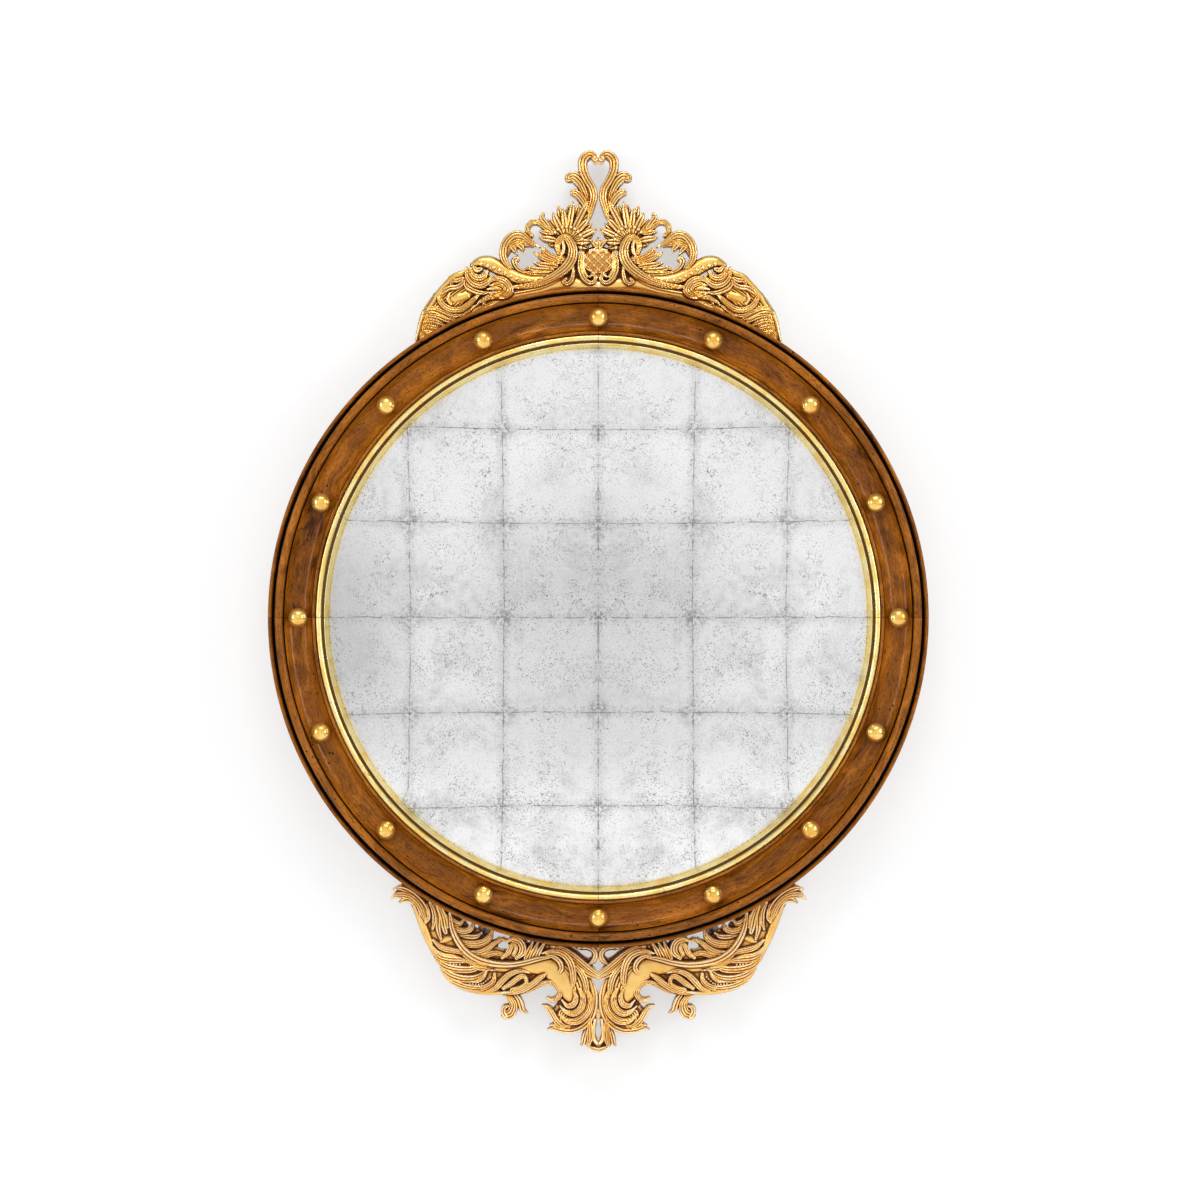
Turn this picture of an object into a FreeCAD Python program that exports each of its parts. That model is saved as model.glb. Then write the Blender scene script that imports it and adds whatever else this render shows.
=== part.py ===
import FreeCAD
import Part
import math
import os
from FreeCAD import Vector

# Round convex mirror with a coved walnut frame, sixteen gilt balls and a
# carved, gilt crest and apron.  Millimetres.  +Z is up, the front faces -Y,
# and the origin is the centre of the round frame on the plane of the wall.

# ---- Driving dimensions ----

# Frame: radial widths, counted inward from its outer edge
frame_r = 330.0
groove_w = 7.5
torus_w = 8.0
quirk_w = 1.5
cove_w = 27.0
inner_bead_w = 3.5

# Frame: heights above its own flat back
frame_wall_h = 41.0
groove_h = 36.0
torus_h = 49.0
torus_shoulder = 3.0
cove_edge_h = 44.0
cove_depth = 10.0
cove_strips = 5
inner_bead_rise = 1.2
bead_facet_w = 2.4
lip_t = 7.0
rebate_w = 7.5

# Loose tongues across the four joints of the frame
tongue_w = 22.0
tongue_l = 36.0
tongue_t = 5.0
tongue_h = 14.0

# Gilt slip between the frame and the glass
slip_w = 12.5
slip_bead_w = 6.0
slip_groove_drop = 5.0
slip_edge_t = 2.0
slip_flange_t = 4.2
slip_gap = 0.3

# Convex glass and what holds it from behind
glass_t = 4.0
glass_rise = 33.5
glass_rim_gap = 1.0
glass_gap = 0.15
glass_block_n = 8
glass_block_l = 24.0
glass_block_w = 11.0
glass_block_gap = 0.3
panel_t = 6.0
panel_gap = 0.5
panel_nail_bite = 11.0
panel_nail_t = 1.8

# Gilt balls, each on a square brad in the cove
ball_n = 16
ball_r = 9.5
ball_seat_r = 3.2
ball_sides = 9
ball_bands = 3
ball_nose = 0.6
brad_t = 2.0
brad_in_ball = 8.0
brad_in_frame = 9.0

# Carved crest and apron
carving_gap = 0.2
crest_ground_t = 13.0
apron_ground_t = 13.0
leaf_rise = 1.5
crest_base_t = 20.0
apron_base_t = 19.0
seam_key_l = 24.0
seam_key_w = 8.0
seam_key_t = 5.0
crest_key_up = 12.0
apron_key_up = 56.0
boss_w = 32.0
boss_h = 25.0
boss_t = 14.0
boss_up = 27.5
boss_gap = 0.1
boss_sides = 14
boss_cut = 1.6
boss_pitch = 7.5

# Steel plates that tie the carvings to the frame
strap_l = 56.0
strap_w = 14.0
strap_t = 2.0
strap_angle = 20.0
strap_screw_pitch = 40.0

# Hanging hardware
hanger_angle = 30.0
hanger_in = 18.0
hanger_plate_l = 30.0
hanger_plate_w = 12.0
hanger_plate_t = 1.4
hanger_screw_pitch = 12.0
hanger_screw_in = 6.0
pin_r = 1.3
pin_gap = 0.2
loop_t = 1.0
ring_in_w = 15.0
ring_in_h = 15.0
ring_wire = 2.4
ring_flats = 8

# Screws
screw_head_r = 3.2
screw_head_t = 1.2
screw_r = 1.5
screw_l = 13.0
screw_sides = 6

# Cork pads that keep the frame off the wall
pad_t = 6.0
pad_w = 24.0
pad_angle = 40.0

# ---- Values that follow from the driving dimensions ----

groove_r = frame_r - groove_w
torus_in_r = groove_r - torus_w
cove_out_r = torus_in_r - quirk_w
cove_in_r = cove_out_r - cove_w
ball_ring_r = (cove_out_r + cove_in_r) / 2.0
frame_in_r = cove_in_r - inner_bead_w
rebate_r = frame_in_r + rebate_w
lip_h = cove_edge_h - lip_t
slip_out_r = frame_in_r - slip_gap
sight_r = slip_out_r - slip_w
slip_flange_r = rebate_r - glass_rim_gap
glass_r = rebate_r - glass_rim_gap
glass_sphere_r = (sight_r ** 2 + glass_rise ** 2) / (2.0 * glass_rise)
back_r = (frame_r + rebate_r) / 2.0
cove_floor_h = cove_edge_h - cove_depth
hanger_r = frame_r - hanger_in
pivot_h = -(pin_r + pin_gap + loop_t)
panel_front_h = panel_t + panel_gap

os.makedirs("parts", exist_ok=True)


# ---- Helpers ----

def depth(height):
    """Y of a level given as a height above the frame's back."""
    return -(pad_t + height)


def at(radius, height):
    """Point of a turned profile: radius from the centre, height above the frame's back."""
    return Vector(radius, depth(height), 0)


def polygon_face(points):
    """Flat face inside a closed run of straight lines."""
    return Part.Face(Part.makePolygon(points + [points[0]]))


def turned(points, start=0.0, sweep=360.0):
    """Solid turned about the mirror's axis; angles go from +X towards +Z."""
    solid = polygon_face(points).revolve(Vector(), Vector(0, -1, 0), sweep)
    solid.rotate(Vector(), Vector(0, -1, 0), start)
    return solid


def around(shape, angle, radius=0.0):
    """Copy of a shape moved out along +X and turned to an angle round the frame."""
    copy = shape.copy()
    copy.translate(Vector(radius, 0, 0))
    copy.rotate(Vector(), Vector(0, -1, 0), angle)
    return copy


def block(width, height, low, high):
    """Box centred on the axis, between two heights above the frame's back."""
    size_y = high - low
    return Part.makeBox(width, size_y, height, Vector(-width / 2, depth(high), -height / 2))


def ring_points(centre_h, radius, height, sides):
    """Corners of a level ring round the axis, at a height above a centre's height."""
    points = []
    for k in range(sides):
        angle = 2.0 * math.pi * k / sides
        y = depth(centre_h + height)
        points.append(Vector(radius * math.cos(angle), y, radius * math.sin(angle)))
    return points


def facet_solid(rings):
    """Solid between level rings of corners, closed by flats at both ends."""
    faces = [polygon_face(rings[0]), polygon_face(rings[-1])]
    sides = len(rings[0])
    for upper, lower in zip(rings[:-1], rings[1:]):
        for k in range(sides):
            n = (k + 1) % sides
            faces.append(polygon_face([upper[k], upper[n], lower[n], lower[k]]))
    solid = Part.makeSolid(Part.makeShell(faces))
    if solid.Volume < 0:
        solid.reverse()
    return solid


def save(name, *solids):
    """Write one node; a node of several solids is a group of alike pieces."""
    shape = solids[0] if len(solids) == 1 else Part.makeCompound(list(solids))
    shape.exportStep("parts/" + name + ".step")


# ---- Frame: four glued segments with tongues across the joints ----

def cove_points():
    """Points down and up the hollow of the cove, as flats of equal turn."""
    half = cove_w / 2.0
    radius = (half ** 2 + cove_depth ** 2) / (2.0 * cove_depth)
    reach = math.asin(half / radius) if cove_depth < radius else math.pi - math.asin(half / radius)
    points = []
    for i in range(cove_strips + 1):
        turn = reach * (1.0 - 2.0 * i / cove_strips)
        r = ball_ring_r + radius * math.sin(turn)
        h = cove_floor_h + radius * (1.0 - math.cos(turn))
        points.append((r, h))
    return points


def cove_seat_height():
    """Height of the flat at the bottom of the cove, where the balls sit."""
    middle = cove_points()[cove_strips // 2]
    return middle[1]


def frame_profile():
    """Section of the frame: wall, groove, torus, quirk, cove, inner bead and rebate."""
    points = [
        at(frame_r, 0),
        at(frame_r, frame_wall_h),
        at(groove_r + groove_w * 0.2, groove_h),
        at(groove_r, torus_h - torus_shoulder),
        at(groove_r - bead_facet_w, torus_h),
        at(torus_in_r + bead_facet_w, torus_h),
        at(torus_in_r, torus_h - torus_shoulder),
    ]
    points += [at(r, h) for r, h in cove_points()]
    points += [
        at(cove_in_r - inner_bead_w / 2, cove_edge_h + inner_bead_rise),
        at(frame_in_r, cove_edge_h),
        at(frame_in_r, lip_h),
        at(rebate_r, lip_h),
        at(rebate_r, 0),
    ]
    return points


def build_frame():
    """Four quarter segments, slotted for the tongues and bored for the brads."""
    seat = cove_seat_height()
    brad_hole = block(brad_t, brad_t, seat - brad_in_frame, seat + 1.0)
    slot = block(tongue_w, tongue_l, tongue_h, tongue_h + tongue_t)
    segments = []
    for quarter in range(4):
        start = 90.0 * quarter
        segment = turned(frame_profile(), start, 90.0)
        cuts = [around(slot, start, back_r), around(slot, start + 90.0, back_r)]
        for i in range(ball_n):
            angle = 90.0 + 360.0 * i / ball_n
            cuts.append(around(brad_hole, angle, ball_ring_r))
        cuts += strap_screws() + hanger_screws()
        segments.append(segment.cut(cuts))
    save("walnut_frame_segments", *segments)
    tongues = [around(slot, 90.0 * k, back_r) for k in range(4)]
    save("frame_joint_tongues", *tongues)


# ---- Gilt slip, convex glass, glue blocks and back panel ----

def glass_front_height(r):
    """Height of the glass's front above the frame's back, at a radius."""
    sight = lip_h - slip_flange_t - slip_gap - glass_gap
    crown = sight + glass_rise
    return crown - glass_sphere_r + math.sqrt(glass_sphere_r ** 2 - r ** 2)


def glass_back_height(r):
    """Height of the glass's back above the frame's back, at a radius."""
    inner = glass_sphere_r - glass_t
    return glass_front_height(0.0) - glass_sphere_r + math.sqrt(inner ** 2 - r ** 2)


def build_slip():
    """Turned slip: bead, groove and sloping fillet, with a flange behind the frame's lip."""
    back_h = lip_h - slip_flange_t - slip_gap
    face_h = cove_edge_h
    profile = [
        at(slip_out_r, back_h + slip_flange_t),
        at(slip_out_r - slip_bead_w / 2, face_h),
        at(slip_out_r - slip_bead_w, face_h - slip_groove_drop),
        at(sight_r, back_h + slip_edge_t),
        at(sight_r, back_h),
        at(slip_flange_r, back_h),
        at(slip_flange_r, back_h + slip_flange_t),
    ]
    save("gilt_slip", turned(profile))


def build_glass():
    """Dished glass of even thickness between two spheres, ground to a round edge."""
    reach = 8 * glass_rise
    disc_cut = Part.makeCylinder(glass_r, 2 * reach, Vector(0, reach, 0), Vector(0, -1, 0))
    centre = Vector(0, depth(glass_front_height(0.0)) + glass_sphere_r, 0)
    outer = Part.makeSphere(glass_sphere_r, centre)
    inner = Part.makeSphere(glass_sphere_r - glass_t, centre)
    save("convex_glass", disc_cut.common(outer).cut(inner))


def build_glass_blocks():
    """Wedge-shaped glue blocks on the rebate wall that press the glass forward."""
    outer = math.sqrt(rebate_r ** 2 - (glass_block_l / 2) ** 2)
    inner = outer - glass_block_w
    points = [
        at(outer, panel_front_h),
        at(outer, glass_back_height(rebate_r) - glass_block_gap),
        at(inner, glass_back_height(inner + glass_block_gap) - glass_block_gap),
        at(inner, panel_front_h),
    ]
    wedge = polygon_face(points).extrude(Vector(0, 0, glass_block_l))
    wedge.translate(Vector(0, 0, -glass_block_l / 2))
    blocks = [around(wedge, angle).cut(nail) for angle, nail in panel_nails()]
    save("glass_blocks", *blocks)


def panel_nails():
    """Angle and solid of each square nail, one through the panel into each glue block."""
    nail = block(panel_nail_t, panel_nail_t, 0.0, panel_front_h + panel_nail_bite)
    reach = math.sqrt(rebate_r ** 2 - (glass_block_l / 2) ** 2) - glass_block_w / 2
    angles = [360.0 / glass_block_n * (k + 0.5) for k in range(glass_block_n)]
    return [(angle, around(nail, angle, reach)) for angle in angles]


def build_panel():
    """Round back panel in the rebate, nailed to the glue blocks."""
    radius = rebate_r - panel_gap
    panel = Part.makeCylinder(radius, panel_t, Vector(0, depth(0), 0), Vector(0, -1, 0))
    nails = [nail for angle, nail in panel_nails()]
    save("back_panel", panel.cut(nails))
    save("back_panel_nails", *nails)


# ---- Balls ----

def ball_solid():
    """Small turned ball with a flat seat at its back, as flats round its girth."""
    seat_turn = math.pi - math.asin(ball_seat_r / ball_r)
    centre_h = cove_seat_height() - ball_r * math.cos(seat_turn)
    rings = []
    for band in range(ball_bands + 1):
        turn = seat_turn * (band + ball_nose) / (ball_bands + ball_nose)
        rings.append(ring_points(centre_h, ball_r * math.sin(turn), ball_r * math.cos(turn), ball_sides))
    return facet_solid(rings)


def build_balls():
    """Balls at even steps from the top, each on a square brad."""
    seat = cove_seat_height()
    brad = block(brad_t, brad_t, seat - brad_in_frame, seat + brad_in_ball)
    ball = ball_solid().cut(brad)
    angles = [90.0 + 360.0 * i / ball_n for i in range(ball_n)]
    save("gilt_balls", *[around(ball, a, ball_ring_r) for a in angles])
    save("ball_brads", *[around(brad, a, ball_ring_r) for a in angles])


# ---- Carvings ----
# Every stroke is a run of stations (out, up, half width): out is the distance
# from the centre line, up the distance from the frame's edge, away from it.

def stroke(stations, thickness, pieces):
    """Carved stroke of even thickness whose edges follow a smooth spine."""
    spine = Part.BSplineCurve()
    spine.interpolate([Vector(s[0], 0, s[1]) for s in stations])
    first = spine.FirstParameter
    last = spine.LastParameter
    marks = [spine.parameter(Vector(s[0], 0, s[1])) for s in stations]
    left = []
    right = []
    for i in range(pieces + 1):
        u = first + (last - first) * i / pieces
        k = 0
        while k < len(marks) - 2 and u > marks[k + 1]:
            k += 1
        share = min(max((u - marks[k]) / (marks[k + 1] - marks[k]), 0.0), 1.0)
        half = stations[k][2] + (stations[k + 1][2] - stations[k][2]) * share
        along = spine.tangent(u)[0]
        across = Vector(-along.z, 0, along.x) * half
        left.append(spine.value(u) + across)
        right.append(spine.value(u) - across)
    face = polygon_face(left + right[::-1])
    return face.extrude(Vector(0, -thickness, 0))


def disc(out, up, radius, thickness, sides):
    """Round eye or knob with flats round its edge."""
    points = []
    for k in range(sides):
        angle = 2.0 * math.pi * k / sides
        points.append(Vector(out + radius * math.cos(angle), 0, up + radius * math.sin(angle)))
    return polygon_face(points).extrude(Vector(0, -thickness, 0))


def prism(points, thickness):
    """Upright block over an outline of (out, up) points."""
    outline = [Vector(out, 0, up) for out, up in points]
    return polygon_face(outline).extrude(Vector(0, -thickness, 0))


def carving_half(ground, ground_t, strokes, piercings, sign):
    """Right half of a carving: ground and strokes fused, cut to the frame and the centre line."""
    solid = prism(ground, ground_t).multiFuse(strokes)
    solid = solid.cut([prism(hole, 4 * torus_h) for hole in piercings]).removeSplitter()
    if sign < 0:
        solid = solid.mirror(Vector(), Vector(0, 0, 1))
    solid.translate(Vector(0, depth(0), sign * frame_r))
    big = 4 * frame_r
    keep = Part.makeBox(big, big, 2 * big, Vector(0, -big, -big))
    disc_cut = Part.makeCylinder(frame_r + carving_gap, big, Vector(0, big / 2, 0), Vector(0, -1, 0))
    return solid.common(keep).cut(disc_cut)


def save_halves(name, half, key):
    """Write the right half and its mirror image, cut for the seam's key and the screws."""
    right = half.cut([key] + strap_screws())
    left = right.mirror(Vector(), Vector(1, 0, 0))
    save(name + "_right", right)
    save(name + "_left", left)


CREST_GROUND = [
    (0, 42), (8, 42), (17, 36), (26, 22), (40, 13), (62, 6), (95, 8), (121, 13), (137, 8),
    (153, -3), (166, -16), (176, -30), (182, -48), (178, -66), (140, -52), (100, -34),
    (50, -16), (0, -12),
]

fan_out = 31.5           # centre of the rayed fan, from the centre line
fan_up = 46.7            # and from the frame's edge
fan_r = 14.0             # disc that the rays start on
fan_ray_start = 8.0
fan_ray_half = 3.4
knob_out = 82.6          # round knob in the opening under the side curl
knob_up = 29.8
knob_r = 3.6

CREST_FAN_TIPS = [(9, 88), (26, 88), (39, 84), (45, 76), (56, 74), (7, 71), (1, 61), (7, 48)]

CREST_STROKES = {
    "heart scroll": (2, 8, [(3, 128.5, 2), (4, 133, 3.4), (9, 135.5, 4.2), (15, 130.5, 4.6),
                            (15.5, 121, 4.4), (11.5, 110.5, 4.2), (6, 101, 4), (4.6, 92, 3.8),
                            (7, 82, 3), (9, 73, 2.2)]),
    "ear leaf": (1, 4, [(32, 112.5, 3), (27, 115.5, 4.5), (19, 111.5, 5.5), (13, 101, 4),
                        (10, 88, 2.5)]),
    "small leaf": (2.2, 2, [(28.5, 97.5, 2), (21, 93.5, 3), (11, 80, 2.5)]),
    "volute": (5, 10, [(40, 36, 2.5), (41, 43.5, 3.2), (37.5, 50.5, 3.6), (31.5, 51, 4),
                       (27, 44, 5), (26, 33.5, 5.5), (31, 23.5, 5.6), (39.5, 16, 5.2),
                       (50, 10.5, 4.6), (62, 6.5, 4), (75, 4.5, 3.2), (86, 4, 2.2)]),
    "hook leaf": (1.5, 4, [(43, 57.5, 3), (52, 63.5, 2.8), (60, 69, 2.6), (67.5, 66, 2.5),
                           (70.5, 59.5, 2.3), (66.5, 53.5, 1.5)]),
    "acanthus lobe 1": (4, 2, [(33, 35.5, 3), (43, 35, 3.5), (54, 42, 0.6)]),
    "acanthus lobe 2": (3, 2, [(35, 30, 3), (48, 31.5, 3.5), (64.5, 36.5, 0.6)]),
    "acanthus lobe 3": (2, 2, [(39, 25, 2.5), (51, 25.5, 3), (65, 26.5, 0.6)]),
    "acanthus lobe 4": (1, 2, [(43, 20.5, 2.5), (55, 19.7, 3), (73.5, 21, 0.6)]),
    "studded band": (3.5, 5, [(126, 24, 3), (119, 27, 5), (110, 26.5, 6.5), (101, 22, 6.8),
                              (92, 16.8, 6.4), (84, 12.8, 6), (75, 10, 5.6), (64, 9, 5),
                              (53, 11, 4.2), (44, 16, 3.2)]),
    "left curl": (4.5, 6, [(88.5, 21, 3.2), (94.5, 30, 4), (95, 40, 4.5), (90, 48, 5.5),
                           (82, 52, 6.5), (74, 50, 5.5), (66, 45, 3), (58.5, 42.2, 0.6)]),
    "knob stem": (2, 1, [(78.5, 16.5, 2.5), (82.6, 28, 2.2)]),
    "shell swirl": (4, 4, [(131.5, 19.5, 2), (130.5, 10.5, 3.5), (123, 4.5, 4), (114, 4, 4),
                           (107, 10.5, 3)]),
    "lower swirl": (5, 6, [(107, 0.5, 2.5), (104, 8, 3.2), (95.5, 10, 3.5), (87.5, 4.5, 3.5),
                           (88, -4.5, 3.5), (96, -9, 3), (106, -8.5, 2.5), (115, -11.5, 2)]),
    "bowl leaf": (4, 5, [(130.5, 6, 2.5), (142, 1.5, 3.5), (152, -3.5, 3.5), (153, -12, 3.5),
                         (146, -18.5, 3.5), (136, -16.5, 3.5), (127, -10.5, 3), (121, -3.5, 2.5)]),
    "outer leaf": (3, 5, [(133, 17.5, 2), (143, 12, 3.5), (150, 7, 3.5), (156.5, -1, 4),
                          (169.5, -17, 4), (175.5, -26, 4.5), (178.5, -36.5, 4), (181.5, -48, 2)]),
    "wave leaf": (2, 2, [(173, -25.5, 2.5), (161, -22, 3.5), (149, -24, 4), (137, -25, 3)]),
    "small scroll": (3.5, 3, [(25, 19.5, 2), (26, 10.5, 2.8), (30.5, 5.5, 2.8), (34.5, 8.5, 2)]),
    "hook scroll": (4, 6, [(18, 35.5, 2.5), (18.5, 24.5, 3), (16, 14.5, 3), (10, 7.5, 3),
                           (4, 9.5, 2.8), (4.5, 15.5, 2)]),
}

APRON_GROUND = [
    (0, -14), (30, -12), (60, -9), (84, -2), (100, -3), (108, -4), (121, -14), (137, -24),
    (152, -42), (178, -78), (200, -68), (192, -50), (180, -38), (173, -22), (168, -6),
    (158, 16), (146, 34), (128, 43), (98, 46), (78, 46), (54, 40), (44, 46), (44, 60),
    (46, 76), (28, 84), (14, 84), (14, 98), (0, 104),
]

APRON_PIERCINGS = [
    [(0, 14.8), (6.5, 19.8), (0, 27.3)],
    [(8.2, 31), (4, 33), (0, 34.5), (0, 48)],
    [(0, 69.5), (2.3, 87), (0, 93.5)],
    [(4, 7), (10, 7.5), (19, 5), (12, 12)],
    [(90, -1.5), (101, -2.5), (99, 3.5), (91, 2.5)],
]

APRON_STROKES = {
    "outer border": (3, 7, [(201, -57.5, 4), (194, -50.5, 5), (185, -45.5, 4),
                            (179, -35.5, 4.5), (174.5, -22.5, 4), (170.5, -8.5, 4),
                            (165, 5.5, 4), (158, 19.5, 4), (149, 31.5, 4), (137, 40.5, 4),
                            (123, 44, 3.5), (108, 44.5, 3), (96, 46.5, 3)]),
    "corner leaf": (4, 2, [(207, -45.5, 1), (204, -53.5, 4), (198, -58.5, 4.5),
                           (190, -54.5, 4)]),
    "midrib": (5, 5, [(159, -44.5, 3), (151.5, -34, 4.5), (145, -16.5, 5), (136, -1.5, 5.5),
                      (123, 10, 6), (105.5, 16.5, 6), (87.5, 19, 6), (69.5, 16.5, 5.5),
                      (52, 13, 4.5)]),
    "trunk": (3.5, 4, [(115, 27.5, 5), (99, 31.5, 8), (81, 33.5, 9), (63, 30.5, 9),
                       (49, 27.5, 7), (38, 34.5, 6), (31, 45.5, 5), (29, 57.5, 4.5)]),
    "rim lobe 1": (3, 2, [(150, -30.5, 3), (142, -26.5, 3.5), (135, -23.5, 1)]),
    "rim lobe 2": (4, 2, [(146, -18.5, 3.5), (135, -16.5, 4), (124.2, -21.5, 1)]),
    "rim lobe 3": (3, 2, [(138, -6.5, 4), (123, -7.5, 4.5), (113, -11, 3.5), (106.3, -15, 1)]),
    "rim lobe 4": (4, 2, [(119, 4.5, 4), (107, -2.5, 3.5), (96.5, -7.5, 1.5)]),
    "shell": (5, 4, [(93, 10.5, 3), (90, 0.5, 3.5), (82, -5.5, 4), (74, -0.5, 3.5),
                     (73, 7.5, 3)]),
    "under leaf 1": (4.5, 2, [(111, 42.5, 1.5), (103, 33.5, 3.5), (89, 26.5, 2)]),
    "under leaf 2": (4.5, 4, [(94, 41.5, 2.5), (88, 34.5, 3), (79, 28.5, 3.5), (71, 28.5, 2.5),
                              (73, 35.5, 2.5), (80, 40, 2)]),
    "under leaf 3": (5.5, 2, [(83, 47.5, 2), (73, 42.5, 3.5), (62, 35.5, 3.5), (52, 27.5, 0.8)]),
    "lower edge": (2.5, 5, [(96, 47.5, 3), (83, 47, 3.5), (69, 43, 3.5), (58, 38.5, 3),
                            (50.5, 41, 3), (43, 45, 3), (41.5, 52, 2.5), (48, 55.5, 2)]),
    "drop bud": (3, 3, [(92, 47.5, 2.8), (87.5, 54, 4), (87, 62, 5), (90, 69, 5.5),
                        (92, 72.5, 3)]),
    "drop leaf": (2, 2, [(84, 48, 2.5), (79, 57, 3.2), (76.5, 64, 3), (71.5, 67.5, 1)]),
    "swirl leaf 1": (4, 3, [(53, 9.5, 3), (43, 14.5, 4), (38, 22.5, 3.5), (41, 27.5, 1.5)]),
    "swirl leaf 2": (5, 3, [(41, 10.5, 3), (31, 18.5, 4.5), (26, 30.5, 4), (25.5, 43.5, 1.5)]),
    "swirl leaf 3": (4, 3, [(29, 14.5, 3), (19, 26.5, 4.5), (13, 38.5, 4), (13, 49.5, 1.5)]),
    "great swirl": (6, 9, [(23, 12.5, 3.5), (12, 22.5, 4.5), (5, 36.5, 4.5), (3.5, 50.5, 4),
                            (7, 65.5, 4), (16, 75.5, 4), (28, 78.5, 4), (39, 73.5, 3),
                            (42, 63.5, 2.5), (38, 52.5, 2.5), (32, 45.5, 2.5)]),
    "swirl eye": (5, 3, [(30, 56.5, 2.5), (28.5, 64.5, 3), (22, 66.5, 3), (19, 60.5, 2.5)]),
    "side leaf 1": (2.5, 2, [(58, 58.5, 1), (50, 60.5, 3.5), (42, 67.5, 4), (36, 73.5, 3)]),
    "bud petal": (4, 4, [(7, 72.5, 3.5), (11.5, 84.5, 4), (15, 96.5, 3.5), (8, 101.5, 3),
                         (0, 105, 2.5)]),
    "top scroll": (3, 3, [(21, 2.5, 2), (12, 3.5, 2.8), (4.5, 6, 3), (2, 11, 3),
                          (7, 14.5, 1.5)]),
}


def strokes_of(table, base_t, lift):
    """All strokes of a carving, each with its own relief above the base thickness."""
    solids = []
    for relief, pieces, stations in table.values():
        solids.append(stroke(stations, base_t + relief * lift, pieces))
    return solids


def seam_key(ground_t, up, sign):
    """Loose key across the centre seam of a carving, at a distance from the frame's edge."""
    low = (ground_t - seam_key_t) / 2.0
    key = block(seam_key_l, seam_key_w, low, low + seam_key_t)
    key.translate(Vector(0, 0, sign * (frame_r + up)))
    return key


def build_crest():
    """Pierced crest: heart scrolls, rayed fans, volutes and studded bands over a plain ground."""
    strokes = strokes_of(CREST_STROKES, crest_base_t, leaf_rise)
    for n, (out, up) in enumerate(CREST_FAN_TIPS):
        reach = math.hypot(out - fan_out, up - fan_up)
        toward = ((out - fan_out) / reach, (up - fan_up) / reach)
        base = (fan_out + toward[0] * fan_ray_start, fan_up + toward[1] * fan_ray_start, fan_ray_half)
        middle = reach * 0.6
        shoulder = (fan_out + toward[0] * middle, fan_up + toward[1] * middle, fan_ray_half)
        relief = leaf_rise * (1 + n % 2)
        strokes.append(stroke([base, shoulder, (out, up, 0.6)], crest_base_t + relief, 1))
    strokes.append(disc(fan_out, fan_up, fan_r, crest_base_t, 8))
    strokes.append(disc(knob_out, knob_up, knob_r, crest_base_t + 2 * leaf_rise, 6))
    half = carving_half(CREST_GROUND, crest_ground_t, strokes, [], 1).cut(boss_blank(boss_gap))
    key = seam_key(crest_ground_t, crest_key_up, 1)
    save_halves("crest", half, key)
    save("crest_seam_key", key)


def boss_blank(grow):
    """Plain oval block of the boss where it stands on the crest's ground, grown by a gap."""
    points = []
    for k in range(boss_sides):
        angle = 2.0 * math.pi * k / boss_sides
        across = (boss_w / 2 + grow) * math.cos(angle)
        upward = (boss_h / 2 + grow) * math.sin(angle)
        points.append(Vector(across, depth(crest_ground_t), frame_r + boss_up + upward))
    return polygon_face(points).extrude(Vector(0, -boss_t, 0))


def build_boss():
    """Oval boss over the crest's seam, crossed by slanting grooves."""
    top = depth(crest_ground_t + boss_t)
    boss = boss_blank(0.0)
    wedge = polygon_face([
        Vector(-boss_cut, top, 0),
        Vector(boss_cut, top, 0),
        Vector(0, top + boss_cut, 0),
    ]).extrude(Vector(0, 0, 4 * boss_h))
    cuts = []
    for k in (-1, 0, 1):
        for angle in (45.0, -45.0):
            cut = wedge.copy()
            cut.translate(Vector(k * boss_pitch, 0, -2 * boss_h))
            cut.rotate(Vector(), Vector(0, 1, 0), angle)
            cut.translate(Vector(0, 0, frame_r + boss_up))
            cuts.append(cut)
    save("crest_boss", boss.cut(cuts))


def build_apron():
    """Pierced apron: acanthus sweeps, feathered leaves and a pendant bud."""
    strokes = strokes_of(APRON_STROKES, apron_base_t, leaf_rise)
    half = carving_half(APRON_GROUND, apron_ground_t, strokes, APRON_PIERCINGS, -1)
    key = seam_key(apron_ground_t, apron_key_up, -1)
    save_halves("apron", half, key)
    save("apron_seam_key", key)


# ---- Plates, screws, hangers and pads at the back ----

def screw(seat_h):
    """Countersunk screw that points forward; its head's face lies at a height."""
    shape = ((0.0, screw_head_r), (screw_head_t, screw_r), (screw_l, screw_r))
    return facet_solid([ring_points(seat_h, r, reach, screw_sides) for reach, r in shape])


def strap_angles():
    """Name and angle of each plate that ties a carving to the frame."""
    return (
        ("crest_strap_right", 90.0 - strap_angle),
        ("crest_strap_left", 90.0 + strap_angle),
        ("apron_strap_left", 270.0 - strap_angle),
        ("apron_strap_right", 270.0 + strap_angle),
    )


def strap_screws():
    """Two screws in each plate, one into the frame and one into the carving."""
    one = screw(-strap_t)
    half = strap_screw_pitch / 2.0
    screws = []
    for name, angle in strap_angles():
        screws.append(around(one, angle, frame_r - half))
        screws.append(around(one, angle, frame_r + half))
    return screws


def build_straps():
    """Flat steel plates over the joint between the frame and the carvings."""
    plate = block(strap_l, strap_w, -strap_t, 0.0)
    screws = strap_screws()
    for name, angle in strap_angles():
        save(name, around(plate, angle, frame_r).cut(screws))
    save("strap_screws", *screws)


def hanger_place(shape, sign):
    """Copy of a shape drawn round the pivot, moved to one of the two hangers."""
    angle = math.radians(hanger_angle)
    copy = shape.copy()
    copy.translate(Vector(sign * hanger_r * math.cos(angle), 0, hanger_r * math.sin(angle)))
    return copy


def hanger_screws():
    """Two screws in each hanger's plate, one below the other."""
    one = screw(-hanger_plate_t)
    one.translate(Vector(0, 0, hanger_screw_in - hanger_plate_l))
    two = one.copy()
    two.translate(Vector(0, 0, hanger_screw_pitch))
    return [hanger_place(s, sign) for sign in (-1, 1) for s in (one, two)]


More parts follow.
